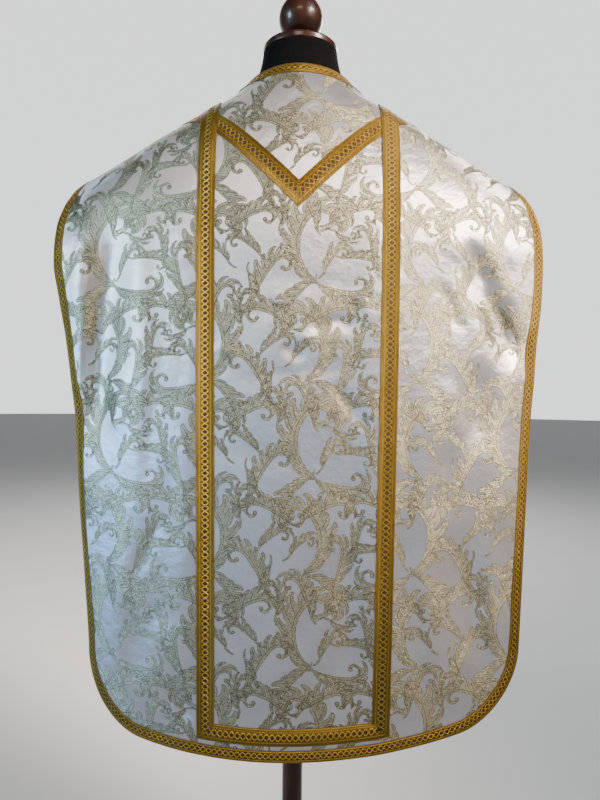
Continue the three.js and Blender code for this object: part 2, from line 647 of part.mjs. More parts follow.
// ---- dress form: its shoulders carry the cloth, and it stays just inside it everywhere ----
function torso(panels) {
  const half = curve(TORSO, "z", "half");
  const back = curve(TORSO, "z", "back");
  const front = curve(TORSO, "z", "front");
  const clear = 1.25;
  const sides = 48;
  const heights = [
    760, 764, 800, 845, 890, 940, 1000, 1060, 1120, 1180, 1240, 1290, 1330, 1355, 1376, 1392, 1404, 1414,
    1423, 1431, 1438, 1445, 1452, 1459, 1466, 1474, 1482, 1490, 1508, NECK.top - SEAM,
  ];
  const ray = new THREE.Raycaster();
  const rings = heights.map((z) =>
    Array.from({ length: sides }, (_, k) => {
      const t = (2 * Math.PI * (k + 0.5)) / sides;
      const a = half(z);
      const b = Math.sin(t) < 0 ? back(z) : front(z);
      let r = (Math.abs(Math.cos(t) / a) ** 2.2 + Math.abs(Math.sin(t) / b) ** 2.2) ** (-1 / 2.2);
      if (z > 1200 && z < NECKLINE.back.z) {
        // inside the whole ring of the cloth, the neck opening too, and inside the faces of the panels,
        // both taken just above so that the slope of the shoulder is clear as well
        const face = Math.sin(t) < 0 ? "back" : "front";
        const up = z + 1.5 * clear;
        const w = ring[face](Math.cos(t), up);
        let lo = 20;
        let hi = 500;
        for (let i = 0; i < 32; i++) {
          const mid = (lo + hi) / 2;
          const q = 1 - ((mid * Math.cos(t)) / w) ** 2;
          if (q > 0 && Math.abs(mid * Math.sin(t)) < depthAt[face](up) * q ** pinchAt(up)) lo = mid;
          else hi = mid;
        }
        r = Math.min(r, lo - 3 * clear);
        ray.set(new THREE.Vector3(0, 0, z + clear), new THREE.Vector3(Math.cos(t), Math.sin(t), 0));
        const hit = ray.intersectObjects(panels)[0];
        if (hit) r = Math.min(r, hit.distance - clear);
      }
      return [r * Math.cos(t), r * Math.sin(t), z];
    }),
  );
  return ringsToSolid(rings);
}

const materials = {
  brocade: new THREE.MeshStandardMaterial({ color: 0xd9d5cb, roughness: 0.45, side: THREE.DoubleSide }),
  galloon: new THREE.MeshStandardMaterial({ color: 0xc08a22, roughness: 0.4, metalness: 0.35 }),
  jersey: new THREE.MeshStandardMaterial({ color: 0x15161a, roughness: 0.95 }),
  wood: new THREE.MeshStandardMaterial({ color: 0x3a1d12, roughness: 0.4 }),
};
const root = new THREE.Group();
root.name = "roman_chasuble";
function add(name, geometry, material) {
  const mesh = new THREE.Mesh(geometry, materials[material]);
  mesh.name = name;
  root.add(mesh);
}
const neckHole = neckOpening();
for (const face of ["back", "front"]) {
  const sheet = panelGrid(face);
  add(`${face}_panel`, shape(solid(wall(sheet, 0, CLOTH)).subtract(neckHole)), "brocade");
  add(`${face}_edge_galloon`, braid([sheet], edgeGrid(face)), "galloon");
  for (const [side, hand] of [[-1, "left"], [1, "right"]]) {
    add(`${face}_v_band_${hand}`, braid([sheet], vGrid(face, side)), "galloon");
    add(`${face}_band_${hand}`, braid([raisedGrid(face, side)], uprightGrid(face, side)), "galloon");
  }
  add(`${face}_band_foot`, braid([sheet], footGrid(face)), "galloon");
}
const neckOutline = neckRing().map(({ edge, inner }) => [edge, inner]);
const neckSheets = [panelGrid("back", 0), panelGrid("front", 0)];
add("neck_galloon", braid(neckSheets, neckOutline, { around: true, low: laid + SEAM / 2 }), "galloon");
add("form_torso", torso(root.children.filter((m) => m.name.endsWith("_panel"))), "jersey");
add(
  "form_neck_cap",
  turned(
    [
      { r: CAP.radius - 1, z: CAP.z },
      { r: CAP.radius, z: CAP.z + 2.5 },
      { r: CAP.radius, z: CAP.z + CAP.thick - 4 },
      { r: CAP.radius - 1.6, z: CAP.z + CAP.thick - 1 },
      { r: CAP.radius - 4, z: CAP.z + CAP.thick },
    ],
    48,
  ),
  "wood",
);
const knobFoot = CAP.z + CAP.thick + SEAM;
add("form_knob", turned(KNOB.map(({ r, z }) => ({ r, z: z + knobFoot })), 40), "wood");
const poleTop = TORSO[TORSO.length - 1].z - SEAM;
add(
  "form_pole",
  turned(
    [
      { r: POLE.radius, z: BASE.crown + SEAM },
      { r: POLE.radius, z: poleTop - POLE.collarHeight },
      { r: POLE.collar - 4, z: poleTop - POLE.collarHeight + 3 },
      { r: POLE.collar, z: poleTop - POLE.collarHeight + 9 },
      { r: POLE.collar, z: poleTop },
    ],
    32,
  ),
  "wood",
);
add(
  "form_base",
  turned(
    [
      { r: BASE.radius - 2, z: 0 },
      { r: BASE.radius, z: 3 },
      { r: BASE.radius, z: BASE.thick - 5 },
      { r: BASE.radius - 5, z: BASE.thick },
      { r: 60, z: BASE.thick + 5 },
      { r: 34, z: BASE.crown - 6 },
      { r: 28, z: BASE.crown },
    ],
    64,
  ),
  "wood",
);
export default root;
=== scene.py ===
"""Roman chasuble of silver-white damask with gold galloon, on a limbless dress form.

The panels and the braid follow the same rings, sides, hem and folds as the CAD model, in millimetres, and
are scaled to metres when a mesh is made. The back panel faces -Y. The leaf pattern is an own design.
"""
import math

import bpy
import numpy as np
from mathutils import Matrix, Vector
from mathutils.geometry import delaunay_2d_cdt


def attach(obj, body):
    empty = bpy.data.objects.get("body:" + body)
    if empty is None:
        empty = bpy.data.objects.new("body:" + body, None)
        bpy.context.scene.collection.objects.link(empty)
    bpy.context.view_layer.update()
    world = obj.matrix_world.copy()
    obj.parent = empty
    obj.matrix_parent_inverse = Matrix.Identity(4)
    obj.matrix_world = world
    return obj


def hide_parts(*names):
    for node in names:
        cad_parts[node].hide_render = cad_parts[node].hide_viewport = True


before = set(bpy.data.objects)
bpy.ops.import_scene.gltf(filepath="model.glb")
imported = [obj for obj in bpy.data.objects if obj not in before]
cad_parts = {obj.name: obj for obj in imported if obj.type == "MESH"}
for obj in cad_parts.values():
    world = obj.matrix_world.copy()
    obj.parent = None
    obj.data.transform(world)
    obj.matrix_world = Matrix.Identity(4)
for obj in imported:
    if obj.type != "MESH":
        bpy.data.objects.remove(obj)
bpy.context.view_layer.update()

MM = 0.001


# ---- shape of the garment, as in the CAD source ----
def table(names, *rows):
    """Columns of a table by name."""
    return dict(zip(names.split(), np.array(rows, float).T))


CLOTH = 1.5  # panel with its interlining and lining
GALLOON = 1.0  # thickness that one band takes up where another passes over it
SEAM = 0.3  # space between pieces
EDGE_WIDTH = 17
NECK_WIDTH = 19
BAND_WIDTH = 26
V_WIDTH = 28
BAND_TOP, BAND_FOOT = 132, 126.5  # half distance between the upright bands
V_TIP = {"back": 1248, "front": 1196}
V_SLOPE = 0.97
FOOT_RISE = 23  # from the hem to the cross piece at the foot
CORNER = 88  # radius of the rounded bottom corners
DATUM = 1181  # flat heights are counted from this ring
TIP_SPREAD = -1.45  # slope of the half width at the shoulder tip
FACES = ("back", "front")
OUTWARD = {"back": -1, "front": 1}
HANDS = ((-1, "left"), (1, "right"))

SHOULDER = table(
    "x z",
    (74, 1484), (79, 1474), (86, 1463), (104, 1447), (121, 1435), (150, 1420), (190, 1399), (230, 1378),
    (274, 1352), (320, 1325), (345, 1311),
)
NECK_SIDE_X, NECK_SIDE_Z = 86, 1463
TIP_X, TIP_Z = 345, 1311
DEPTHS = table(
    "z back front pinch",
    (1500, 60, 52, 0.5), (1475, 74, 66, 0.5), (1450, 86, 80, 0.5), (1400, 102, 106, 0.54),
    (1350, 116, 126, 0.64), (1311, 123, 136, 0.7), (1268, 127, 142, 0.62), (1200, 130, 146, 0.5),
    (1050, 130, 142, 0.5), (900, 126, 134, 0.5), (700, 118, 126, 0.5), (455, 110, 120, 0.5),
    (380, 108, 118, 0.5),
)
SIDES = {
    "back": table(
        "z left_edge left_ring right_edge right_ring",
        (1292, 351, 368, 353, 370), (1268, 360, 388, 362, 390), (1235, 366, 404, 367, 406),
        (1181, 367, 413, 367, 416), (1127, 359, 402, 365, 417), (1066, 350, 382, 358, 416),
        (1006, 344, 368, 354, 414), (945, 338, 358, 349, 412), (825, 334, 347, 343, 420),
        (704, 326, 337, 338, 432), (584, 317, 330, 333, 441), (455, 312, 329, 328, 445),
        (360, 310, 330, 325, 446),
    ),
    "front": table(
        "z left_edge left_ring right_edge right_ring",
        (1292, 322, 361, 322, 361), (1262, 293, 370, 293, 370), (1220, 268, 370, 268, 370),
        (1160, 252, 360, 252, 360), (1080, 247, 345, 247, 346), (980, 251, 334, 251, 337),
        (860, 262, 330, 261, 336), (700, 279, 335, 277, 342), (560, 292, 345, 290, 352),
        (455, 299, 352, 297, 358), (360, 303, 356, 301, 362),
    ),
}
HEM = {"back": (455, 0.0005, 0.029), "front": (470, 0.0005, -0.006)}  # height, bow, tilt
NECKLINE = {"back": (1475, 2), "front": (1352, 2.3)}  # height on the centre line, power

# From one end to the other, outward height (a hollow is below 0) and spread. The first 8 rows of the back
# and 4 of the front are the CAD model's folds. The rest are in this model only: creases and dimples, a deeper
# trough on either side of the back, and slight ridges under its upright bands.
FOLDS = {
    "back": table(
        "x0 z0 x1 z1 out spread",
        (-262, 1216, -303, 915, -11, 27), (-208, 1150, -238, 720, 5, 34), (256, 1188, 330, 1046, -9, 20),
        (262, 1022, 268, 915, -6, 26), (238, 760, 272, 590, -9, 27), (184, 1010, 188, 610, 5, 26),
        (306, 900, 303, 620, 5, 22), (-186, 640, -212, 545, 4, 24), (20, 1080, 56, 1090, -2.6, 9),
        (54, 1094, 78, 1078, -2, 9), (-20, 1050, 8, 1036, -2.4, 10), (-2, 1070, 24, 1060, 1.8, 9),
        (-114, 1052, -86, 1040, 1.8, 9), (54, 996, 98, 940, -2.4, 11), (-70, 1006, 66, 1024, -1.6, 15),
        (-92, 902, 24, 884, -1.4, 20), (-60, 1150, 70, 1138, -1.2, 16), (-176, 548, -150, 512, -4, 10),
        (-206, 1010, -214, 860, -2.2, 12), (-286, 830, -296, 600, -4.5, 17), (-256, 760, -262, 560, 3.5, 15),
        (206, 1140, 236, 1080, -2.6, 11), (214, 1206, 300, 1120, 2.6, 14), (222, 900, 214, 820, -3, 15),
        (300, 800, 312, 660, -3.2, 14), (176, 700, 186, 560, -2.8, 14), (-158, 1120, -166, 980, -2, 13),
        (-312, 1240, -330, 1120, 2.4, 13), (-84, 700, -62, 560, -1.6, 22), (66, 760, 84, 600, -1.8, 24),
        (-178, 880, -170, 760, -2.2, 14), (-276, 1212, -302, 935, -7, 21), (114, 1236, 118, 560, 6, 28),
        (-160, 1236, -162, 560, 5, 26), (-318, 1206, -334, 960, 4, 15), (-230, 1196, -222, 965, 4.5, 20),
        (248, 1184, 316, 1036, -10, 20), (262, 1010, 266, 940, -1.6, 24), (240, 770, 262, 600, -2, 30),
        (216, 1000, 232, 930, 2.4, 12), (-300, 1120, -306, 1040, -2.5, 9), (-246, 1010, -268, 930, 2.6, 11),
        (-196, 800, -232, 720, -2.4, 11), (-150, 1196, -196, 1150, 1.8, 13), (296, 1236, 318, 1180, 2.2, 11),
        (-60, 1094, -28, 1110, -1.5, 9), (84, 1126, 104, 1090, 1.5, 9),
    ),
    "front": table(
        "x0 z0 x1 z1 out spread",
        (-172, 1120, -206, 700, -8, 26), (176, 1060, 214, 640, -9, 27), (168, 620, 186, 540, 4, 24),
        (-226, 640, -238, 560, 4, 22), (24, 1040, 52, 1034, -2.4, 8), (-58, 1008, -34, 1018, -2.2, 8),
        (-80, 960, 60, 944, -1.6, 16), (40, 860, 86, 826, -2.2, 10), (-96, 780, 20, 796, -1.4, 20),
        (-160, 900, -176, 780, 2.4, 14), (222, 900, 236, 760, 2.6, 13), (-250, 880, -262, 700, -2.4, 12),
        (160, 940, 168, 860, -2.4, 13), (250, 700, 262, 590, -2.8, 13), (-168, 560, -148, 520, -2.4, 10),
        (-70, 660, -52, 560, -1.6, 20), (70, 700, 92, 580, -1.8, 20), (-214, 1120, -226, 1040, -2, 11),
        (206, 1130, 222, 1060, 2, 11), (-178, 1080, -204, 720, -4, 14), (182, 1030, 212, 680, -4.2, 15),
        (-206, 1000, -222, 860, 2.6, 12), (240, 1010, 246, 900, -2.6, 11), (-150, 1180, -186, 1130, 1.8, 12),
        (-40, 1096, -6, 1108, -1.5, 9),
    ),
}


def hermite(start, slope, end, end_slope, t):
    """Cubic from a start to an end, with the slopes there."""
    return (
        start * (1 + 2 * t) * (1 - t) ** 2 + slope * t * (1 - t) ** 2
        + end * t * t * (3 - 2 * t) + end_slope * t * t * (t - 1)
    )


def curve(x, y, knot=None, slope_there=0.0):
    """Smooth function through points: it doesn't overshoot, and one knot may have a slope of its own."""
    order = np.argsort(x)
    x, y = np.asarray(x, float)[order], np.asarray(y, float)[order]
    d = np.diff(y) / np.diff(x)
    total = d[1:] + d[:-1]
    inner = np.where(d[1:] * d[:-1] > 0, 2 * d[1:] * d[:-1] / np.where(total == 0, 1, total), 0)
    m = np.concatenate([d[:1], inner, d[-1:]])
    if knot is not None:
        m[x == knot] = slope_there

    def at(v):
        v = np.asarray(v, float)
        i = np.clip(np.searchsorted(x, v) - 1, 0, len(x) - 2)
        h = x[i + 1] - x[i]
        inside = hermite(y[i], m[i] * h, y[i + 1], m[i + 1] * h, (v - x[i]) / h)
        below, above = y[0] + m[0] * (v - x[0]), y[-1] + m[-1] * (v - x[-1])
        return np.where(v < x[0], below, np.where(v > x[-1], above, inside))

    return at


def smooth(t):
    t = np.clip(t, 0, 1)
    return t * t * (3 - 2 * t)


def lerp(a, b, t):
    return a + (b - a) * t


def unit(v):
    return v / np.linalg.norm(v, axis=-1, keepdims=True)


def floats(*values):
    """Arrays of one shape."""
    return np.broadcast_arrays(*(np.asarray(v, float) for v in values))


def run_of(points):
    """Length along a line, from its start to each of its points."""
    return np.concatenate([[0], np.cumsum(np.linalg.norm(np.diff(points, axis=0), axis=1))])


def between(grid, i, j, short=0.0001):
    """Values of a grid between its points, up to just short of its last ones."""
    i, j = (np.clip(v, 0, n - 1 - short) for v, n in zip((i, j), grid.shape))
    i0, j0 = i.astype(int), j.astype(int)
    u, w = (v.reshape(v.shape + (1,) * (grid.ndim - 2)) for v in (i - i0, j - j0))
    low, high = (grid[i0, k] * (1 - u) + grid[i0 + 1, k] * u for k in (j0, j0 + 1))
    return low * (1 - w) + high * w


def last_true(test, low, high):
    """Where a test that holds at low and fails at high stops holding, for each of their values."""
    for _ in range(32):
        middle = (low + high) / 2
        holds = test(middle)
        low, high = np.where(holds, middle, low), np.where(holds, high, middle)
    return low


pinch_at = curve(DEPTHS["z"], DEPTHS["pinch"])
depth_at = {face: curve(DEPTHS["z"], DEPTHS[face]) for face in FACES}
ring_at, edge_at = {}, {}
for face in FACES:
    rows = SIDES[face]
    for side, hand in HANDS:
        z, half = np.append(rows["z"], SHOULDER["z"]), np.append(rows[hand + "_ring"], SHOULDER["x"])
        ring_at[face, side] = curve(z, half, TIP_Z, TIP_SPREAD)
        edge_at[face, side] = curve(np.append(rows["z"], TIP_Z), np.append(rows[hand + "_edge"], TIP_X))


def ring(face, x, z):
    """Half width of the ring that a place lies on."""
    return np.where(x < 0, ring_at[face, -1](z), ring_at[face, 1](z))


def edge_width(face, side, z):
    return np.where(np.asarray(z) >= TIP_Z, TIP_X, edge_at[face, side](z))


def swell(face, x, z):
    """Outward height of the folds."""
    out = np.zeros(np.broadcast(x, z).shape)
    for x0, z0, x1, z1, high, spread in zip(*FOLDS[face].values()):
        dx, dz = x1 - x0, z1 - z0
        t = ((x - x0) * dx + (z - z0) * dz) / (dx * dx + dz * dz)
        away = ((x - x0) * dz - (z - z0) * dx) / math.hypot(dx, dz)
        out += high * np.exp(-((away / spread) ** 2)) * smooth((t + 0.22) / 0.44) * smooth((1.22 - t) / 0.44)
    return out


def on_cloth(face, x, z, seam=SEAM / 2):
    """Points of a panel's inner face at places seen square on, and the outward normals there."""
    x, z = floats(x, z)
    s = OUTWARD[face]
    a, b, p = ring(face, x, z), depth_at[face](z), pinch_at(z)
    q = np.clip(1 - (x / a) ** 2, 0, 1)
    da = ring(face, x, z + 0.5) - ring(face, x, z - 0.5)
    db = depth_at[face](z + 0.5) - depth_at[face](z - 0.5)
    dp = pinch_at(z + 0.5) - pinch_at(z - 0.5)
    hold = q ** (1 - p)
    fx = (swell(face, x + 1, z) - swell(face, x - 1, z)) / 2
    fz = (swell(face, x, z + 1) - swell(face, x, z - 1)) / 2
    log = q * np.log(np.maximum(q, 1e-9))
    nx = 2 * b * p * x / a**2 - fx * hold
    nz = -db * q - 2 * b * p * x * x * da / a**3 - b * log * dp - fz * hold
    y = s * (b * q**p + swell(face, x, z) * smooth(q * 4) + seam)
    return np.stack([x, y, z], -1), unit(np.stack([nx, s * hold, nz], -1))


_heights = np.linspace(TIP_Z, SHOULDER["z"][0], 4000)
_widths = ring_at["back", 1](_heights)


def seam_height(x):
    """Height of the shoulder seam at a distance from the centre line."""
    return np.interp(-np.asarray(x, float), -_widths, _heights)


def neck_height(face, x):
    middle, power = NECKLINE[face]
    return lerp(middle, NECK_SIDE_Z, np.clip(np.abs(x) / NECK_SIDE_X, 0, 1) ** power)


def top_height(face, x):
    x = np.abs(x)
    return np.where(x < NECK_SIDE_X, neck_height(face, x), np.where(x > TIP_X, TIP_Z, seam_height(x)))


def hem_line(face, x):
    height, bow, tilt = HEM[face]
    return height + bow * x * x + tilt * x


def hem_height(face, x, z):
    start = edge_width(face, -1 if x < 0 else 1, z) - CORNER
    q = np.clip((abs(x) - start) / CORNER, 0, 1)
    return hem_line(face, x) + CORNER * (1 - math.sqrt(1 - q * q))


class Flat:
    """The cloth of a panel laid flat: v is the length up a column of it, from the ring at DATUM."""

    STEPS = 260
    REACH = 372  # half width of the columns
    PITCH = 2.0  # from one column to the next
    BELOW = 20  # how far the columns reach below the hem's middle
    SHORT = 0.001

    def __init__(self, face):
        self.face = face
        self.x = np.arange(-self.REACH, self.REACH + 1, self.PITCH)
        self.bottom = HEM[face][0] - self.BELOW
        top = top_height(face, self.x)[:, None]
        t = np.arange(self.STEPS + 1) / self.STEPS
        z = top - (top - self.bottom) * t**2
        p, _ = on_cloth(face, self.x[:, None], z)
        self.run = np.zeros_like(z)
        self.run[:, 1:] = np.cumsum(np.linalg.norm(np.diff(p, axis=1), axis=2), axis=1)
        self.length = self.run[:, -1]
        self.top_v = np.array([np.interp(-DATUM, -heights, run) for heights, run in zip(z, self.run)])
        self.z = np.array([np.interp(t**2 * run[-1], run, heights) for heights, run in zip(z, self.run)])

    def _sample(self, values, x, t):
        """Value between columns and between the steps of t."""
        return between(values, (x + self.REACH) / self.PITCH, t * self.STEPS, self.SHORT)

    def top(self, x):
        return np.interp(x, self.x, self.top_v)

    def z_of(self, x, v):
        x, v = floats(x, v)
        u = (self.top(x) - v) / np.interp(x, self.x, self.length)
        return self._sample(self.z, x, np.sqrt(np.clip(u, 0, 1)))

    def v_of(self, x, z):
        x, z = floats(x, z)
        top = top_height(self.face, x)
        t = np.sqrt(np.clip((top - z) / (top - self.bottom), 0, 1))
        return self.top(x) - self._sample(self.run, x, t)


flat = {face: Flat(face) for face in FACES}


def side_line(face, side):
    """A side of a panel from the shoulder tip down, round the corner and along the hem to the middle."""
    height, bow, tilt = HEM[face]
    corner_x, corner_x_squared = 320, 1e5  # near where the hem turns up
    foot = height + CORNER + bow * corner_x_squared + side * tilt * corner_x
    z = TIP_Z - (TIP_Z - foot) * np.linspace(0, 1, 160) ** 1.15  # closer together near the shoulder
    places = [(float(edge_width(face, side, h)), float(h)) for h in z]
    for angle in np.radians(np.arange(3, 91, 3)):
        h = foot
        for _ in range(12):
            x = float(edge_width(face, side, h)) - CORNER * (1 - math.cos(angle))
            h = float(hem_height(face, side * x, h))
        places.append((x, h))
    reach = places[-1][0]
    for x in reach * (1 - np.arange(1, 61) / 60):
        places.append((x, float(hem_line(face, side * x))))
    return np.array([(side * x, h) for x, h in places])


def free_edge(face):
    """The free edge of a panel, from the left shoulder tip round the hem to the right one."""
    return np.vstack([side_line(face, -1), side_line(face, 1)[:-1][::-1]])


def panel_outline(face):
    """Corner points of a whole panel, seen square on, from the left shoulder tip round the hem."""
    seam = np.linspace(TIP_X, NECK_SIDE_X, 66)[1:]
    neck = NECK_SIDE_X * np.sin(np.linspace(math.pi / 2, -math.pi / 2, 74))[1:-1]
    x = np.concatenate([seam, neck, -seam[::-1]])
    return np.vstack([free_edge(face), np.stack([x, top_height(face, x)], 1)])


# ---- leaf pattern: one vine of hooked plumes, and the same vine mirrored and raised half a repeat ----
REPEAT = (296, 276)
PLUMES = [  # x, y, heading, length, width, turn, turn of the hook, fingers
    (75, 29, 145, 196, 34, -185, -235, 10), (69, 168, 40, 182, 33, 180, 240, 10),
    (70, 24, 212, 100, 26, 50, 215, 6), (84, 22, -30, 96, 25, 60, 210, 6),
    (96, 108, 40, 100, 26, -50, -215, 6), (76, 104, 98, 92, 25, 40, 205, 6),
    (76, 160, -24, 96, 25, -55, -215, 6), (44, 238, 134, 96, 25, 52, 215, 6),
    (62, 240, 44, 104, 27, -56, -215, 7), (90, 42, 72, 64, 19, -50, -230, 5),
    (-8, 6, 76, 104, 27, -50, -215, 7), (-2, 64, 128, 64, 19, 40, 200, 5), (108, 150, 62, 90, 24, 44, 210, 6),
    (140, 196, 96, 66, 19, -50, -200, 5), (26, 104, 72, 66, 19, 52, 200, 5),
    (118, 60, 10, 62, 18, -44, -200, 5), (18, 176, 250, 70, 20, 48, 200, 5),
    (46, 192, 62, 58, 16, -60, -230, 5), (104, 96, -40, 44, 14, 60, 230, 4),
]
FINGER = [  # share of the way to the next finger, and of a finger's reach
    (0.0, 0.28), (0.20, 0.62), (0.54, 0.97), (0.94, 1.20), (1.28, 1.24), (1.42, 1.10), (1.24, 0.92),
    (1.04, 0.70), (0.94, 0.44),
]
HOOK = 1.10  # how much further the ends curl than in the table
SLIM = 0.80  # width of the plumes as drawn, of the width in the table
STALK, STALK_BEND = 15.0, 40.0  # length of a stalk, and how far it bends back from its plume
OUTLINE, VEIN = 1, 2  # kinds of drawn line
LINE_HALF = {OUTLINE: 1.05, VEIN: 0.72}  # half width of the dark line


def breadth(u):
    """Reach of the fingers at a share of a plume's length."""
    if u < 0.36:
        return 0.16 + 0.38 * math.sin(u / 0.36 * math.pi / 2)
    return 0.20 + 0.34 * math.sin(max(0.0, (1 - u) / 0.64) * math.pi / 2) ** 1.3


def walk(x, y, angles, step):
    """Points from a start on, with a step in each direction in turn."""
    ways = np.stack([np.cos(angles), np.sin(angles)], 1)
    return np.array([x, y]) + np.vstack([[(0, 0)], np.cumsum(ways, axis=0)]) * step


def plume(x, y, heading, length, width, turn, hook, fingers):
    """Closed outlines and veins of one plume: a smooth scroll with hooked fingers outside its bend."""
    width *= SLIM
    steps = 40
    t = np.linspace(0, 1, steps + 1)
    angle = np.radians(heading + turn * t + hook * HOOK * np.clip((t - 0.5) / 0.5, 0, 1) ** 1.7)
    spine = walk(x, y, (angle[1:] + angle[:-1]) / 2, length / steps)
    bend = math.copysign(1, turn)

    def place(u, w):
        """w is the distance from the spine, of the plume's width, and above 0 outside the bend."""
        u = min(u, 1.0)
        b, w = np.interp(u, t, angle), -bend * w * width
        px, py = (np.interp(u, t, line) for line in spine.T)
        return px - w * math.sin(b), py + w * math.cos(b)

    last = 0.80  # share of the length that has fingers
    outside, veins = [], [[place(u, 0) for u in np.linspace(0.03, 0.90, 13)]]
    for i in range(fingers):
        u0, u1 = (last * (k / fingers) ** 0.9 for k in (i, i + 1))
        reach = 1.30 * breadth(lerp(u0, u1, 0.6)) * (1 + 0.14 * math.sin(2.4 * i + width))
        outside += [place(min(lerp(u0, u1, lean), 0.95), max(w * reach, 0.13)) for lean, w in FINGER]
        veins.append([place(lerp(u0, u1, k), w * reach) for k, w in ((0.1, 0.1), (0.6, 0.62), (1.12, 1.06))])
    outside += [place(u, w) for u, w in ((0.90, 0.17), (0.96, 0.15), (1.0, 0.11))]
    within = [place(u, -0.07 - 0.13 * math.sin(math.pi * min(1, 1.1 * u))) for u in np.linspace(0, 1, 18)]
    k = np.linspace(0, 1, 8)
    back = np.radians(heading + 180 + bend * STALK_BEND * k)
    stalk = walk(x, y, back[1:], STALK / 7)
    half = ((1.7 - 0.8 * k) * bend)[:, None] * np.stack([-np.sin(back), np.cos(back)], 1)
    knob = 0.16 * width
    cx, cy = place(1.0, -0.05)
    ball = [(cx + knob * math.cos(q), cy + knob * math.sin(q)) for q in np.arange(10) * math.pi / 5]
    outline = np.vstack([(stalk + half)[::-1], outside, within[::-1], stalk - half])
    return [outline, np.array(ball)], [np.array(v) for v in veins]


def inside(polygon, points):
    """Which points lie inside a polygon."""
    a, b = polygon, np.roll(polygon, -1, axis=0)
    found = np.zeros(len(points), bool)
    box = np.all((points >= polygon.min(0)) & (points <= polygon.max(0)), axis=1)
    q = points[box]
    if len(q):
        crosses = (a[:, 1] > q[:, 1:2]) != (b[:, 1] > q[:, 1:2])
        rise = np.where(b[:, 1] == a[:, 1], 1, b[:, 1] - a[:, 1])
        at = a[:, 0] + (q[:, 1:2] - a[:, 1]) * (b[:, 0] - a[:, 0]) / rise
        found[box] = np.sum(crosses & (q[:, :1] < at), axis=1) % 2 == 1
    return found


def runs(mask):
    """Start and end of each stretch that is true."""
    steps = np.flatnonzero(np.diff(np.concatenate([[0], mask.astype(int), [0]])))
    return list(zip(steps[::2], steps[1::2]))


def repeat_unit():
    """Closed outlines of one repeat, and the stretches of outline and vein that no later plume covers."""
    width, height = REPEAT
    vine = [plume(*row) for row in PLUMES]

    def mirrored(lines):
        return [np.stack([width - line[:, 0], line[:, 1] + height / 2], 1) for line in lines]

    vine += [(mirrored(outlines), mirrored(veins)) for outlines, veins in vine]
    shapes = [(k, outline) for k, (outlines, _) in enumerate(vine) for outline in outlines]
    strokes = []
    for k, (outlines, veins) in enumerate(vine):
        strokes += [(k, np.vstack([o, o[:1]]), OUTLINE) for o in outlines] + [(k, v, VEIN) for v in veins]
    owner = np.concatenate([np.full(len(line), k) for k, line, _ in strokes])
    points = np.vstack([line for _, line, _ in strokes])
    covered = np.zeros(len(points) - 1, bool)
    for later, other in shapes:
        below = np.flatnonzero(owner < later)
        for i, j in np.ndindex(3, 3):
            hit = np.zeros(len(points), bool)
            hit[below] = inside(other + ((i - 1) * width, (j - 1) * height), points[below])
            covered |= hit[1:] & hit[:-1]
    lines, begin = [], 0
    for _, line, kind in strokes:
        end = begin + len(line)
        lines += [(points[begin + a : begin + b + 1], kind) for a, b in runs(~covered[begin : end - 1])]
        begin = end
    return [outline for _, outline in shapes], lines


# ---- meshes ----
def new_mesh(name, points, triangles, normals=None, materials=(), kinds=None, corner=None, place=None):
    """Object from points in mm. corner and place are three numbers for each corner and each point."""
    mesh = bpy.data.meshes.new(name)
    triangles = np.asarray(triangles, np.int32)
    count = len(triangles)
    mesh.vertices.add(len(points))
    mesh.vertices.foreach_set("co", (np.asarray(points, float) * MM).astype(np.float32).ravel())
    mesh.loops.add(3 * count)
    mesh.loops.foreach_set("vertex_index", triangles.ravel())
    mesh.polygons.add(count)
    mesh.polygons.foreach_set("loop_start", np.arange(0, 3 * count, 3, dtype=np.int32))
    for m in materials:
        mesh.materials.append(m)
    if kinds is not None:
        mesh.polygons.foreach_set("material_index", np.asarray(kinds, np.int32))
    mesh.update(calc_edges=True)
    mesh.polygons.foreach_set("use_smooth", np.ones(count, bool))
    for key, values, domain in (("pattern", corner, "CORNER"), ("place", place, "POINT")):
        if values is not None:
            layer = mesh.attributes.new(key, "FLOAT_VECTOR", domain)
            layer.data.foreach_set("vector", np.asarray(values, np.float32).ravel())
    if normals is not None:
        mesh.normals_split_custom_set(np.asarray(normals, float).reshape(-1, 3).tolist())
    else:
        mesh.set_sharp_from_angle(angle=math.radians(48))
    obj = bpy.data.objects.new(name, mesh)
    bpy.context.scene.collection.objects.link(obj)
    return obj


def boundary_loop(triangles, count):
    """Points round the edge of a sheet of triangles, in order, with the sheet on the left."""
    edges = np.vstack([triangles[:, [0, 1]], triangles[:, [1, 2]], triangles[:, [2, 0]]])
    ahead, back = edges @ (count, 1), edges @ (1, count)
    rim = edges[~np.isin(ahead, back)]
    following = dict(rim.tolist())
    loop = [int(rim[0, 0])]
    while following[loop[-1]] != loop[0]:
        loop.append(following[loop[-1]])
    return np.array(loop)


def hexagons(low, high, step):
    """Points of a triangular grid over a rectangle."""
    v = np.arange(low[1], high[1], step * math.sqrt(3) / 2)
    x = np.arange(low[0], high[0], step)
    odd = (np.arange(len(v)) % 2)[:, None] * step / 2
    return np.stack([x[None, :] + odd, np.broadcast_to(v[:, None], (len(v), len(x)))], -1).reshape(-1, 2)


def doubled_area(xy, triangles):
    """Twice the area of flat triangles, below 0 where they run clockwise."""
    a, b, c = (xy[triangles[:, k]] for k in range(3))
    return (b[:, 0] - a[:, 0]) * (c[:, 1] - a[:, 1]) - (b[:, 1] - a[:, 1]) * (c[:, 0] - a[:, 0])


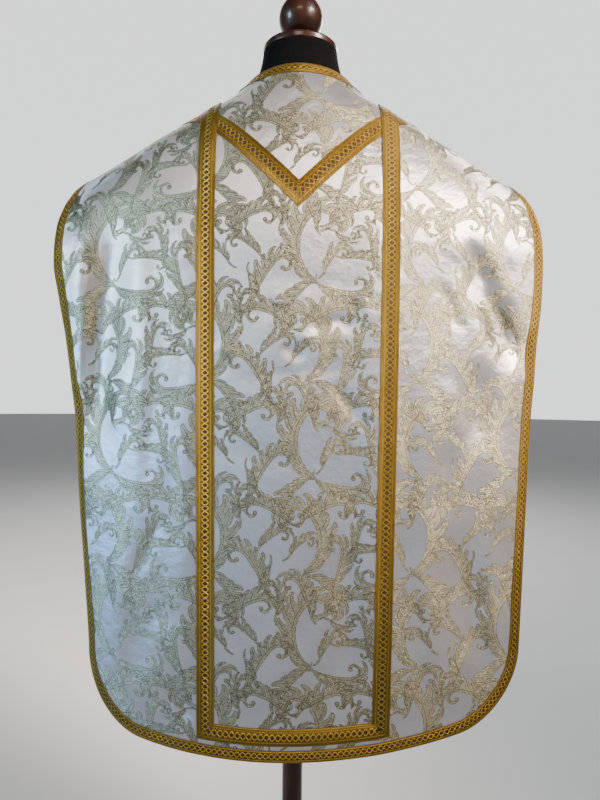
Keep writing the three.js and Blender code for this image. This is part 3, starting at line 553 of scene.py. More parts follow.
def triangulate(outline, points, edges):
    """Triangles inside an outline, cut along edges: points, triangles, all edges and where each is from."""
    out = delaunay_2d_cdt([Vector(p) for p in points.tolist()], edges, [], 0, 1e-4, True)
    xy, triangles = np.array([tuple(p) for p in out[0]]), np.array(out[2], np.int64)
    turned = doubled_area(xy, triangles) < 0
    triangles[turned] = triangles[turned][:, ::-1]
    middles = np.array_split(xy[triangles].mean(axis=1), 24)
    within = np.concatenate([inside(outline, part) for part in middles])
    return xy, triangles[within], np.array(out[1], np.int64), out[4]


FAR = 9.0  # distance given to what has no line near it
GRID_STEP = 7.0
INNER_STEP = 14.0
PATTERN_SHIFT = {"back": (-52, -64), "front": (96, 20)}
GROUND, LEAF, REVERSE = range(3)


def closed_line(count):
    return [(i, (i + 1) % count) for i in range(count)]


def drawn_edges(outline, lines, shifts):
    """Points and edges of an outline and of the drawn lines in it, and the kind of each edge."""
    count = len(outline)
    points, edges, kinds = [outline], closed_line(count), [0] * count
    every = np.vstack([line for line, _ in lines])
    owner = np.repeat(np.arange(len(lines)), [len(line) for line, _ in lines])
    kind = np.array([kind for _, kind in lines])[owner]
    joined = owner[1:] == owner[:-1]
    for shift in shifts:
        hit = inside(outline, every + shift)
        keep = hit.copy()  # and one point past the edge on either side
        keep[1:] |= hit[:-1] & joined
        keep[:-1] |= hit[1:] & joined
        number = count + np.cumsum(keep) - 1
        starts = np.flatnonzero(joined & keep[1:] & keep[:-1])
        points.append((every + shift)[keep])
        edges += zip(number[starts].tolist(), number[starts + 1].tolist())
        kinds += kind[starts].tolist()
        count += int(keep.sum())
    return points, edges, kinds


def on_leaf(points, shapes, shifts):
    """Which points lie on a leaf."""
    leaf = np.zeros(len(points), bool)
    order = np.argsort(points[:, 0])
    by_x = points[order, 0]
    for shift in shifts:
        for shape in shapes:
            q = shape + shift
            near = order[np.searchsorted(by_x, q[:, 0].min()) : np.searchsorted(by_x, q[:, 0].max())]
            near = near[~leaf[near]]
            leaf[near] = inside(q, points[near])
    return leaf


def line_distances(xy, triangles, edges, origins, kinds):
    """Distance of each corner to the drawn lines on its triangle's own sides, in half widths of the line."""
    found = [{kinds[g] for g in given if g < len(kinds)} - {0} for given in origins]
    kind_of = np.array([min(kind, default=0) for kind in found])
    keys = np.sort(edges, axis=1) @ (len(xy), 1)
    order = np.argsort(keys)
    keys, kind_of = keys[order], kind_of[order]
    distances = np.full((len(triangles), 3, 3), FAR)
    twice = doubled_area(xy, triangles)
    for k in range(3):
        ends = np.sort(triangles[:, [(k + 1) % 3, (k + 2) % 3]], axis=1)
        kind = kind_of[np.searchsorted(keys, ends @ (len(xy), 1))]
        length = np.linalg.norm(xy[ends[:, 0]] - xy[ends[:, 1]], axis=1)
        for drawn, half in LINE_HALF.items():
            at = kind == drawn
            distances[at, :, k] = 0
            distances[at, k, k] = (twice / length)[at] / half
    return distances


def panel_mesh(face, pattern, materials):
    """Closed thin shell of a panel. The outer face is cut along the leaf pattern."""
    shapes, lines = pattern
    cloth = flat[face]
    outline = panel_outline(face)
    outline = np.stack([outline[:, 0], cloth.v_of(outline[:, 0], outline[:, 1])], 1)
    low, high = outline.min(0), outline.max(0)
    corner, size = np.array(PATTERN_SHIFT[face], float), np.array(REPEAT, float)
    first = (np.floor((low - corner) / size) - 1).astype(int)
    count = (np.ceil((high - corner) / size) + 1).astype(int) - first + 1
    shifts = [corner + size * (first + ij) for ij in np.ndindex(*count)]
    points, edges, kinds = drawn_edges(outline, lines, shifts)
    points.append(hexagons(low, high, GRID_STEP))
    xy, triangles, all_edges, origins = triangulate(outline, np.vstack(points), edges)
    leaf = on_leaf(xy[triangles].mean(axis=1), shapes, shifts)
    distances = line_distances(xy, triangles, all_edges, origins, kinds)

    # the points that are used, then the inner face inside the same edge, and the rim between the two
    used, triangles = np.unique(triangles, return_inverse=True)
    xy, triangles = xy[used], triangles.reshape(-1, 3)
    loop = boundary_loop(triangles, len(xy))
    rim = xy[loop]
    grid = hexagons(low, high, INNER_STEP)
    grid = grid[inside(rim, grid)]
    inner, inner_triangles, _, _ = triangulate(rim, np.vstack([rim, grid]), closed_line(len(rim)))

    p, normal = on_cloth(face, xy[:, 0], cloth.z_of(xy[:, 0], xy[:, 1]))
    p0, normal0 = on_cloth(face, inner[:, 0], cloth.z_of(inner[:, 0], inner[:, 1]))
    outer_points = p + normal * CLOTH
    base = len(xy)
    i0 = np.arange(len(rim))
    i1 = np.roll(i0, -1)
    a, b, c, d = loop[i0], loop[i1], base + i1, base + i0
    strip = np.vstack([np.stack([a, c, b], 1), np.stack([a, d, c], 1)])
    outward = unit(np.cross(outer_points[b] - outer_points[a], normal[a]))
    if face == "front":  # seen from its outer face, this panel's flat cloth is mirrored
        faces = [triangles[:, ::-1], base + inner_triangles, strip[:, ::-1]]
        distances, outward = distances[:, ::-1], -outward
    else:
        faces = [triangles, base + inner_triangles[:, ::-1], strip]
    normals = np.vstack([
        normal[faces[0]].reshape(-1, 3), -normal0[faces[1] - base].reshape(-1, 3),
        np.repeat(np.vstack([outward, outward]), 3, axis=0),
    ])
    counts = [len(inner_triangles), len(strip)]
    looks = np.concatenate([np.where(leaf, LEAF, GROUND), np.repeat([REVERSE, GROUND], counts)])
    corners = np.vstack([distances.reshape(-1, 3), np.full((3 * sum(counts), 3), FAR)])
    places = np.pad(np.vstack([xy, inner]), ((0, 0), (0, 1)))
    points = np.vstack([outer_points, p0])
    return new_mesh(
        face + "_panel_cloth", points, np.vstack(faces), normals, materials, looks, corners, places
    )


# ---- braid ----
class Band:
    """A strip of braid on the cloth: s runs along it and w across it, from its middle, in mm."""

    def __init__(self, place, width, ends, lift=None, loop=0.0, low=CLOTH + 0.06):
        self.place, self.width, self.ends, self.low = place, width, ends, low
        self.lift = lift or (lambda s: 0.0)
        self.loop = loop  # length of a closed ring, or 0

    def at(self, s, w, h):
        s, w, h = floats(s, w, h)
        p, n = self.place(s, w)
        return p + n * (self.low + h + self.lift(s))[..., None]

    def holds(self, s, w, margin=0.8):
        if self.loop:
            return np.ones(np.shape(s), bool)
        start, end = self.ends(w)
        return (s > start + margin) & (s < end - margin)


def whole(length):
    """Ends of a band of even length."""
    return lambda w: (0 * np.asarray(w), length + 0 * np.asarray(w))


def foot_height(face, x, w):
    """Height on the cross piece at the foot, at a distance above its middle."""
    return hem_line(face, x) + FOOT_RISE + BAND_WIDTH / 2 + w


def upright_band(face, side):
    cloth = flat[face]
    foot_z, rise = 480, 890  # between these the band leans from BAND_FOOT to BAND_TOP
    lap_start, lap = -78, 28  # where the band rises over the arm of the V

    def centre(z):
        return lerp(BAND_FOOT, BAND_TOP, np.clip((z - foot_z) / rise, 0, 1))

    start = float(cloth.top(side * (BAND_TOP - BAND_WIDTH / 2)))
    v_top = float(cloth.v_of(0.0, V_TIP[face])) + V_SLOPE * (BAND_TOP - BAND_WIDTH / 2)

    def place(s, w):
        z = cloth.z_of(side * (BAND_TOP + w), start - s)
        for _ in range(3):
            x = side * (centre(z) + w)
            z = cloth.z_of(x, start - s)
        return on_cloth(face, x, z)

    def ends(w):
        w = np.asarray(w, float)
        x = side * (centre(foot_z) + w)
        foot = cloth.v_of(x, foot_height(face, x, -w))
        return start - cloth.top(side * (BAND_TOP + w)), start - foot - SEAM / 2

    def lift(s):
        return (GALLOON + SEAM) * smooth((start - s - v_top - lap_start) / lap)

    return Band(place, BAND_WIDTH, ends, lift)


def foot_band(face):
    half = BAND_FOOT - SEAM / 2
    return Band(
        lambda s, w: on_cloth(face, s, foot_height(face, s, w)), BAND_WIDTH,
        lambda w: (np.asarray(w) - half, half - np.asarray(w)),
    )


def v_band(face, side):
    """One arm of the V, from the mitre on the centre line up to the shoulder."""
    cloth = flat[face]
    length = math.hypot(1, V_SLOPE)
    cos, sin = 1 / length, V_SLOPE / length
    low = float(cloth.v_of(0.0, V_TIP[face]))

    def ways(s, w):
        w = w + V_WIDTH / 2
        return s * cos - w * sin, low + s * sin + w * cos

    def ends(w):
        w = np.asarray(w, float)

        def below_seam(s):
            x, v = ways(s, w)
            return v < cloth.top(side * x)

        far = last_true(below_seam, np.full(w.shape, 60.0), np.full(w.shape, 420.0))
        return ((w + V_WIDTH / 2) * sin + SEAM / 2) / cos, far

    def place(s, w):
        x, v = ways(s, w)
        return on_cloth(face, side * x, cloth.z_of(side * x, v))

    return Band(place, V_WIDTH, ends)


OVERHANG = 0.9  # how far the edge galloon reaches past the cut edge of the cloth


def edge_band(face):
    """Galloon inside the free edge, found by walking inwards over the cloth 1 mm at a time."""
    line = free_edge(face)
    run = run_of(on_cloth(face, line[:, 0], line[:, 1])[0])
    stops = np.linspace(0, run[-1], int(run[-1] / 2.5))
    p, n = on_cloth(face, np.interp(stops, run, line[:, 0]), np.interp(stops, run, line[:, 1]))
    along = unit(np.gradient(p, axis=0))
    rows = []
    for k in range(EDGE_WIDTH + 1):
        inwards = unit(np.cross(along, n)) * OUTWARD[face]
        if k == 0:
            rows.append((p - inwards * OVERHANG, n))
        rows.append((p, n))
        x, z = p[:, 0] + inwards[:, 0], p[:, 2] + inwards[:, 2]
        p, n = on_cloth(face, x, np.minimum(z, top_height(face, p[:, 0])))
    grid_p, grid_n = (np.stack(grid, 1) for grid in zip(*rows))

    def place(s, w):
        across = w + EDGE_WIDTH / 2
        i, j = s / stops[1], np.where(across < 0, 1 + across / OVERHANG, 1 + across)
        return between(grid_p, i, j), unit(between(grid_n, i, j))

    return Band(place, EDGE_WIDTH, whole(stops[-1]))


def neck_band():
    """Galloon round the neck, in one ring over both panels."""
    turns = 12  # places on half of the neck
    fine = 40  # points from one place to the next
    places = []
    for face, i in [("back", i) for i in range(turns + 1)] + [("front", i) for i in range(1, turns)]:
        x = -OUTWARD[face] * NECK_SIDE_X * math.sin(math.pi * (i / turns - 0.5))
        if abs(abs(x) - NECK_SIDE_X) < 1e-6:
            out = math.copysign(NECK_SIDE_X + NECK_WIDTH * 0.82, x)
            edge, inner = on_cloth(face, x, NECK_SIDE_Z, 0), on_cloth(face, out, seam_height(abs(out)), 0)
        else:
            edge = on_cloth(face, x, neck_height(face, x), 0)
            before, after = (on_cloth(face, x + d, neck_height(face, x + d), 0)[0] for d in (-1, 1))
            away = unit(np.cross(unit(after - before), edge[1]))
            away *= -1 if away[2] > 0 else 1
            q = edge[0] + away * NECK_WIDTH
            inner = on_cloth(face, q[0], min(q[2], float(top_height(face, q[0]))), 0)
        places.append(np.concatenate([*edge, *inner]))
    places = np.array(places)
    # a closed smooth line through the places
    t = np.arange(len(places) * fine) / fine
    i, u = t.astype(int), (t % 1)[:, None]
    a, b, c, d = (places[(i + k) % len(places)] for k in (-1, 0, 1, 2))
    line = 0.5 * (2 * b + (c - a) * u + (2 * a - 5 * b + 4 * c - d) * u**2 + (3 * b - a - 3 * c + d) * u**3)
    line = np.vstack([line, line[:1]])
    run = run_of(line[:, :3])
    total = run[-1]

    def place(s, w):
        row = np.stack([np.interp(np.asarray(s) % total, run, line[:, k]) for k in range(12)], -1)
        p0, n0, p1, n1 = row[..., :3], unit(row[..., 3:6]), row[..., 6:9], unit(row[..., 9:12])
        chord = p1 - p0
        size = np.linalg.norm(chord, axis=-1, keepdims=True)
        t0, t1 = (unit(chord - n * np.sum(chord * n, -1, keepdims=True)) * size for n in (n0, n1))
        t = ((np.asarray(w) + NECK_WIDTH / 2) / NECK_WIDTH)[..., None]
        return hermite(p0, t0, p1, t1, t), unit(lerp(n0, n1, t))

    return Band(place, NECK_WIDTH, whole(total), loop=total, low=CLOTH + 0.36)


STYLES = {  # pitch of the diamonds, their half length and half width, swing of the strands, strand half width
    "wide": dict(pitch=8.4, long=2.6, wide=2.5, swing=4.5, strand=1.05, rail=7.9),
    "narrow": dict(pitch=8.4, long=2.25, wide=2.05, swing=3.5, strand=0.9, rail=6.1),
}
BASE_HEIGHT = 0.62
SHOULDER_WIDTH = 0.35  # of the rounded edges of the base
SKIRT = 0.55  # how far the overhanging edge reaches down beside the cloth
EDGE_CORD = 0.5
WOVEN, STRAND, DIAMOND, CORD = range(4)


def outward_parts(points, triangles):
    """Triangles of several closed bodies, each body's faces turned outwards."""
    parent = np.arange(len(points))
    for _ in range(64):
        low = parent[triangles].min(axis=1)
        before = parent.copy()
        for k in range(3):
            np.minimum.at(parent, triangles[:, k], low)
        parent = parent[parent]
        if np.array_equal(before, parent):
            break
    body = parent[triangles[:, 0]]
    a, b, c = (points[triangles[:, k]] - points[body] for k in range(3))
    volume = np.bincount(body, np.sum(a * np.cross(b, c), axis=1), len(points))
    return np.where((volume[body] < 0)[:, None], triangles[:, ::-1], triangles)


class Parts:
    """Points and triangles of a piece, gathered from closed parts."""

    def __init__(self):
        self.points, self.triangles, self.kinds, self.places, self.count = [], [], [], [], 0

    def add(self, points, places):
        """Adds points and gives the number of the first."""
        self.points.append(points.reshape(-1, 3))
        self.places.append(places.reshape(-1, 3))
        self.count += len(self.points[-1])
        return self.count - len(self.points[-1])

    def faces(self, triangles, kind):
        self.triangles.append(triangles)
        self.kinds.append(np.full(len(triangles), kind))

    def sleeve(self, grid, kind, places, closed=False):
        """Faces round a grid of rings. A closed one joins its last ring to its first."""
        start = self.add(grid, places)
        rows, cols = grid.shape[:2]
        i = np.arange(rows if closed else rows - 1)[:, None]
        j = np.arange(cols)
        up, on = (i + 1) % rows * cols, (j + 1) % cols
        a, b, c, d = (start + q.ravel() for q in (i * cols + j, up + j, up + on, i * cols + on))
        self.faces(np.vstack([np.stack([a, b, c], 1), np.stack([a, c, d], 1)]), kind)
        return start

    def tube(self, grid, kind, places, closed=False):
        """A sleeve with flat ends, unless it is closed."""
        start = self.sleeve(grid, kind, places, closed)
        rows, cols = grid.shape[:2]
        for row in () if closed else (0, rows - 1):
            first = start + row * cols
            fan = np.array([(first, first + k, first + k + 1) for k in range(1, cols - 1)])
            self.faces(fan if row else fan[:, ::-1], kind)

    def mesh(self, name, materials):
        points = np.vstack(self.points)
        triangles = outward_parts(points, np.vstack(self.triangles))
        kinds, places = np.concatenate(self.kinds), np.vstack(self.places)
        return new_mesh(name, points, triangles, None, materials, kinds, None, places)


def strand(parts, band, s, w, h, half, high, kind, closed=False):
    """A flattened strand on a band, closed at both ends."""
    if len(s) < 3:
        return
    s, w, h = floats(s, w, h)
    angles = np.radians([180, 130, 90, 50, 0])
    slope_s, slope_w = np.gradient(s), np.gradient(w)
    norm = np.hypot(slope_s, slope_w)
    ds, dw = -slope_w / norm, slope_s / norm  # square to the strand
    across, up = np.cos(angles) * half, np.sin(angles) * high
    gs = s[:, None] + ds[:, None] * across
    gw = w[:, None] + dw[:, None] * across
    places = np.stack([gs, gw, np.ones(gs.shape) * up / high], -1)
    parts.tube(band.at(gs, gw, h[:, None] + up), kind, places, closed)


def braid_mesh(name, band, style, materials, extra=None):
    """Woven braid: a flat base, two strands that cross between dark diamonds, rails and edge cords."""
    parts, st = Parts(), STYLES[style]
    half = band.width / 2
    over = name.endswith("edge_galloon")
    outer = half + (OVERHANG if over else 0)
    inner_w = half * np.array([-0.8, -0.4, 0, 0.4, 0.8])
    w = np.array([-outer, -outer + SHOULDER_WIDTH, *inner_w, half - SHOULDER_WIDTH, half])
    profile = BASE_HEIGHT * np.array([0, 0.85, 1, 1, 0.96, 1, 1, 0.85, 0])
    start, end = band.ends(w)
    first, last = float(np.min(start)), float(np.max(end))
    rows = max(8, int((last - first) / 3))
    f = np.arange(rows) / rows if band.loop else np.linspace(0, 1, rows + 1)
    s = start[None, :] + (end - start)[None, :] * f[:, None]
    ww = np.broadcast_to(w, s.shape)
    place = np.stack([s, ww, 0 * s], -1)
    top, low = band.at(s, ww, profile), band.at(s, ww, 0 * s - over * SKIRT * (ww < -half + 0.5))
    grid, places = (np.concatenate([a, b[:, -2:0:-1]], axis=1) for a, b in ((top, low), (place, place)))
    parts.tube(grid, WOVEN, places, bool(band.loop))

    pitch = st["pitch"]
    if band.loop:
        pitch = last / round(last / pitch)
    s = np.arange(first, last - (pitch / 16 if band.loop else 0), pitch / 8)
    phase = math.pi * s / pitch
    jobs = []
    for sign in (1, -1):
        w, h = sign * st["swing"] * np.sin(phase), BASE_HEIGHT - 0.05 + 0.13 * sign * np.cos(phase)
        jobs.append((s, w, h, st["strand"], 0.42, STRAND, 0.8))
    for w, thick, high, kind in (
        (st["rail"], 0.5, 0.30, STRAND), (-st["rail"], 0.5, 0.30, STRAND),
        (half - EDGE_CORD, EDGE_CORD, 0.42, CORD), (EDGE_CORD - outer, EDGE_CORD, 0.42, CORD),
    ):
        jobs.append((s[::2], w, BASE_HEIGHT * 0.8, thick, high, kind, 0.3))
    for s, w, h, thick, high, kind, margin in jobs:
        s, w, h = floats(s, w, h)
        for a, b in runs(band.holds(s, w, margin)):
            strand(parts, band, s[a:b], w[a:b], h[a:b], thick, high, kind, bool(band.loop))

    centres = np.arange(math.ceil(first / pitch) + 0.5, last / pitch, 1) * pitch
    centres = centres[band.holds(centres, 0 * centres, st["long"] + 0.3)][:, None, None]
    ds, dw = st["long"] * np.array([1, 0, -1, 0]), st["wide"] * np.array([0, 1, 0, -1])
    layers = np.array([(1.0, BASE_HEIGHT - 0.1), (0.92, BASE_HEIGHT + 0.22), (0.5, BASE_HEIGHT + 0.3)])
    share, high = layers[:, :1], layers[:, 1:]
    gs, gw = centres + ds * share, 0 * centres + dw * share
    for grid, places in zip(band.at(gs, gw, high), np.stack([gs, gw, 0 * gs + share], -1)):
        begin = parts.sleeve(grid, DIAMOND, places)
        parts.faces(begin + np.array([(8, 9, 10), (8, 10, 11), (2, 1, 0), (3, 2, 0)]), DIAMOND)
    if extra:
        extra(parts, band)
    return parts.mesh(name + "_braid", materials)


def mitre_thread(parts, band):
    """Light thread along the mitre where one arm of the V laps over the other."""
    w = np.linspace(-band.width / 2 + 0.6, band.width / 2 - 0.6, 30)
    strand(parts, band, band.ends(w)[0] + 0.6, w, BASE_HEIGHT, 0.5, 0.4, STRAND)


def top_thread(parts, band):
    """Light thread along the upper edge of the foot piece."""
    w = band.width / 2 - 1.6
    start, end = band.ends(w)
    s = np.linspace(float(start) + 1.5, float(end) - 1.5, 100)
    strand(parts, band, s, w, BASE_HEIGHT, 0.5, 0.35, STRAND)


# ---- materials ----
class Look:
    """A procedural material, built node by node."""

    def __init__(self, name, **constants):
        self.material = bpy.data.materials.new(name)
        self.material.use_nodes = True
        self.tree = self.material.node_tree
        self.tree.nodes.clear()
        self.shader = self.tree.nodes.new("ShaderNodeBsdfPrincipled")
        out = self.tree.nodes.new("ShaderNodeOutputMaterial")
        self.tree.links.new(self.shader.outputs[0], out.inputs["Surface"])
        self.finish(**constants)

    def put(self, socket, value):
        if isinstance(value, bpy.types.NodeSocket):
            self.tree.links.new(value, socket)
        elif isinstance(value, tuple) and len(value) == 3 and socket.type == "RGBA":
            socket.default_value = (*value, 1)
        else:
            socket.default_value = value

    def finish(self, **inputs):
        for key, value in inputs.items():
            self.put(self.shader.inputs[key.replace("_", " ")], value)
        return self.material

    def node(self, kind, inputs, output=0, **settings):
        node = self.tree.nodes.new("ShaderNode" + kind)
        for key, value in settings.items():
            setattr(node, key, value)
        for key, value in inputs.items():
            self.put(node.inputs[key], value)
        return node.outputs[output]

    def math(self, operation, *values):
        return self.node("Math", dict(enumerate(values)), operation=operation)

    def times(self, a, b):
        return self.math("MULTIPLY", a, b)

    def plus(self, a, b):
        return self.math("ADD", a, b)

    def wave(self, value, rate):
        return self.math("SINE", self.times(value, rate))

    def attribute(self, name):
        """A stored vector, and its three numbers."""
        vector = self.node("Attribute", {}, "Vector", attribute_name=name)
        split = self.tree.nodes.new("ShaderNodeSeparateXYZ")
        self.tree.links.new(vector, split.inputs[0])
        return vector, split.outputs

    def body(self):
        """Place on the object itself."""
        return self.node("TexCoord", {}, "Object")

    def noise(self, vector, scale, detail=2.0, rough=0.5):
        return self.node("TexNoise", {"Vector": vector, "Scale": scale, "Detail": detail, "Roughness": rough})

    def stretch(self, vector, x, y, z=1.0):
        return self.node("Mapping", {"Vector": vector, "Scale": (x, y, z)})

    def step(self, value, low, high, out_low=0.0, out_high=1.0):
        span = {"Value": value, "From Min": low, "From Max": high, "To Min": out_low, "To Max": out_high}
        return self.node("MapRange", span, interpolation_type="SMOOTHSTEP")

    def blend(self, noise, a, b):
        """From one colour to the other, over the range that a noise fills."""
        return self.mix(self.step(noise, 0.35, 0.65), a, b)

    def mix(self, share, a, b):
        node = self.tree.nodes.new("ShaderNodeMix")
        node.data_type = "RGBA"
        for index, value in ((0, share), (6, a), (7, b)):
            self.put(node.inputs[index], value)
        return node.outputs[2]

    def bump(self, height, strength, distance, normal=None):
        under = {} if normal is None else {"Normal": normal}
        return self.node("Bump", {"Height": height, "Strength": strength, "Distance": distance, **under})

    def pucker(self, vector):
        """Slight unevenness of the whole cloth."""
        return self.bump(self.noise(vector, 0.075, 3.0, 0.55), 0.5, 0.0022)

    def twist(self, s, w, lean, rate):
        """Slanting threads, from -1 to 1."""
        return self.wave(self.plus(s, self.times(w, lean)), rate)

    def round_body(self):
        """Level direction round the upright axis, which is across the garment's threads."""
        return self.node("Tangent", {}, direction_type="RADIAL", axis="Z")

    def drawn_line(self):
        """1 on the woven outline of the leaves and along their veins, 0 away from them."""
        _, (a, b, c) = self.attribute("pattern")
        nearest = self.math("MINIMUM", self.math("MINIMUM", a, b), c)
        return self.step(nearest, 0.55, 1.1, 1.0, 0.0)


SATIN = 0.75  # the ground's threads stand upright and the leaves' lie level, so they shine in turn


def satin_ground():
    look = Look(
        "silver_white_satin", Sheen_Weight=0.04, Sheen_Roughness=0.5, Specular_IOR_Level=0.6,
        Anisotropic=SATIN,
    )
    vector, _ = look.attribute("place")
    slub = look.noise(look.stretch(vector, 0.05, 1.6), 1.0, 3.0)
    mottle = look.noise(vector, 0.012, 3.0)
    glint = look.noise(vector, 0.9, 2.0, 0.7)
    base = look.blend(mottle, (0.58, 0.57, 0.58), (0.66, 0.65, 0.655))
    base = look.mix(look.step(slub, 0.45, 0.8, 0.0, 0.4), base, (0.46, 0.455, 0.46))
    base = look.mix(look.times(look.drawn_line(), 0.55), base, (0.30, 0.28, 0.21))
    rough = look.step(glint, 0.3, 0.7, 0.38, 0.52)
    height = look.plus(look.times(slub, 0.6), look.times(glint, 0.6))
    normal = look.bump(height, 0.45, 0.0003, look.pucker(vector))
    return look.finish(
        Base_Color=base, Roughness=rough, Metallic=0.74, Normal=normal, Tangent=look.round_body()
    )


def leaf_thread():
    look = Look("silver_gold_thread", Specular_IOR_Level=0.5, Anisotropic=SATIN, Anisotropic_Rotation=0.25)
    vector, _ = look.attribute("place")
    fleck = look.noise(vector, 0.62, 2.0, 0.7)
    shade = look.noise(look.stretch(vector, 0.16, 0.16), 1.0, 2.0)
    base = look.blend(shade, (0.30, 0.288, 0.215), (0.40, 0.385, 0.29))
    base = look.mix(look.step(fleck, 0.55, 0.65), base, (0.95, 0.83, 0.46))
    base = look.mix(look.times(look.drawn_line(), 0.85), base, (0.10, 0.09, 0.055))
    normal = look.bump(fleck, 0.9, 0.0011, look.pucker(vector))
    rough = look.step(fleck, 0.3, 0.7, 0.52, 0.32)
    return look.finish(
        Base_Color=base, Roughness=rough, Metallic=0.85, Normal=normal, Tangent=look.round_body()
    )


def reverse_cloth():
    look = Look("cream_reverse", Sheen_Weight=0.1, Specular_IOR_Level=0.35)
    vector, (x, y, _) = look.attribute("place")
    threads = 0.9 * 2 * math.pi  # 0.9 threads a mm
    ribs = look.times(look.wave(x, threads), look.wave(y, threads))
    mottle = look.noise(vector, 0.02, 3.0)
    base = look.blend(mottle, (0.70, 0.66, 0.57), (0.76, 0.73, 0.65))
    return look.finish(Base_Color=base, Roughness=0.75, Normal=look.bump(ribs, 0.3, 0.00015))


# Tones of the braid: the gold itself, a darker tone for painted shade and a lighter tone for painted
# highlight.
GOLD = {"painted_shade": (0.038, 0.020, 0.002), "mid": (0.155, 0.089, 0.006), "painted_highlight": (0.53, 0.345, 0.036)}
ORANGE = {"painted_shade": (0.045, 0.021, 0.002), "mid": (0.18, 0.096, 0.007), "painted_highlight": (0.50, 0.295, 0.034)}


def braid_base(name, tone):
    look = Look(name, Specular_IOR_Level=0.5)
    vector, (s, w, _) = look.attribute("place")
    lean = look.math("ABSOLUTE", w)
    twill = look.twist(s, lean, 1.2, 2.2)
    ribs = look.wave(w, 5.0)
    speck = look.noise(vector, 1.2, 2.0, 0.7)
    outside_painted_shade = look.step(lean, 4.0, 5.6)  # painted shade: the middle of the braid, under the strands, is darker
    height = look.plus(look.plus(look.times(twill, 0.7), look.times(ribs, 0.3)), look.times(speck, 0.8))
    # painted shade and highlight: the tone follows the height of the twill, ribs and random specks, darker in
    # the low parts and lighter on the high ones
    base = look.mix(look.step(height, -0.35, 1.0), tone["painted_shade"], tone["mid"])
    base = look.mix(look.times(look.step(height, 0.55, 1.25), 0.75), base, tone["painted_highlight"])
    base = look.mix(outside_painted_shade, tone["painted_shade"], base)
    return look.finish(Base_Color=base, Roughness=0.40, Metallic=0.8, Normal=look.bump(height, 0.7, 0.0005))


def braid_strand(name, tone):
    look = Look(name, Specular_IOR_Level=0.6)
    vector, (s, w, _) = look.attribute("place")
    twist = look.twist(s, w, 1.4, 5.2)
    speck = look.noise(vector, 1.5, 1.0)
    # painted highlight: the strand is lighter along the ridges of its twist and darker between them
    base = look.mix(look.step(twist, -1, 1), tone["mid"], tone["painted_highlight"])
    base = look.mix(look.step(speck, 0.5, 0.7, 0.0, 0.3), base, (0.90, 0.68, 0.24))
    return look.finish(Base_Color=base, Roughness=0.36, Metallic=0.8, Normal=look.bump(twist, 0.5, 0.0003))


def braid_diamond():
    look = Look("brown_silk_diamond", Specular_IOR_Level=0.4)
    vector, _ = look.attribute("place")
    speck = look.noise(vector, 1.4, 2.0)
    base = look.blend(speck, (0.020, 0.011, 0.005), (0.075, 0.040, 0.012))
    return look.finish(Base_Color=base, Roughness=0.6, Normal=look.bump(speck, 0.5, 0.0003))


def braid_cord(name, dark, pale):
    look = Look(name, Specular_IOR_Level=0.5)
    _, (s, w, _) = look.attribute("place")
    twist = look.twist(s, w, 2.0, 4.0)
    # painted shade and highlight: the cord is darker and lighter in turn along the ridges of its twist
    base = look.mix(look.step(twist, -1, 1), dark, pale)
    return look.finish(Base_Color=base, Roughness=0.5, Metallic=0.3, Normal=look.bump(twist, 0.5, 0.0003))


def jersey():
    look = Look("black_jersey", Specular_IOR_Level=0.05)
    vector = look.body()
    ribs = look.node("TexWave", {"Vector": vector, "Scale": 420.0, "Distortion": 0.4}, 1, bands_direction="Z")
    lint = look.noise(vector, 900.0, 2.0)
    base = look.mix(look.step(lint, 0.4, 0.7), (0.004, 0.004, 0.0045), (0.010, 0.010, 0.011))
    return look.finish(Base_Color=base, Roughness=0.85, Normal=look.bump(ribs, 0.4, 0.0003))


def wood(name, varnish, varnish_roughness):
    look = Look(name, Coat_Weight=varnish, Coat_Roughness=varnish_roughness, Specular_IOR_Level=0.3)
    vector = look.body()
    grain = look.noise(look.stretch(vector, 34.0, 34.0, 5.0), 1.0, 4.0, 0.6)
    pores = look.noise(look.stretch(vector, 420.0, 420.0, 36.0), 1.0, 2.0)
    base = look.blend(grain, (0.018, 0.0055, 0.0035), (0.055, 0.017, 0.009))
    base = look.mix(look.step(pores, 0.58, 0.72, 0.0, 0.6), base, (0.02, 0.008, 0.005))
    return look.finish(Base_Color=base, Roughness=0.38, Normal=look.bump(pores, 0.25, 0.0002))


# ---- the garment ----
def settle(obj, node):
    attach(obj, "root")
    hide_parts(node)
    return obj


leaves = repeat_unit()
cloth_looks = [satin_ground(), leaf_thread(), reverse_cloth()]
panels = {face: settle(panel_mesh(face, leaves, cloth_looks), face + "_panel") for face in FACES}

diamond = braid_diamond()
# the cord's brown, with a darker tone for painted shade and a lighter one for painted highlight along its
# twist
cord = braid_cord("brown_edge_cord", (0.10, 0.05, 0.012), (0.30, 0.17, 0.04))
gold_looks, orange_looks = (
    [braid_base(name + "_braid", tone), braid_strand(name + "_strand", tone), diamond, cord]
    for name, tone in (("gold", GOLD), ("orange_gold", ORANGE))
)
EXTRAS = {"v_band_left": mitre_thread, "band_foot": top_thread}
for face in FACES:
    jobs = [(face + "_edge_galloon", edge_band(face), "narrow", gold_looks)]
    for side, hand in HANDS:
        jobs.append((f"{face}_v_band_{hand}", v_band(face, side), "wide", orange_looks))
        jobs.append((f"{face}_band_{hand}", upright_band(face, side), "wide", gold_looks))
    jobs.append((face + "_band_foot", foot_band(face), "wide", gold_looks))
    if face == "back":
        jobs.append(("neck_galloon", neck_band(), "narrow", gold_looks))
    [
        settle(braid_mesh(node, *job, EXTRAS.get(node.removeprefix(face + "_"))), node)
        for node, *job in jobs
    ]


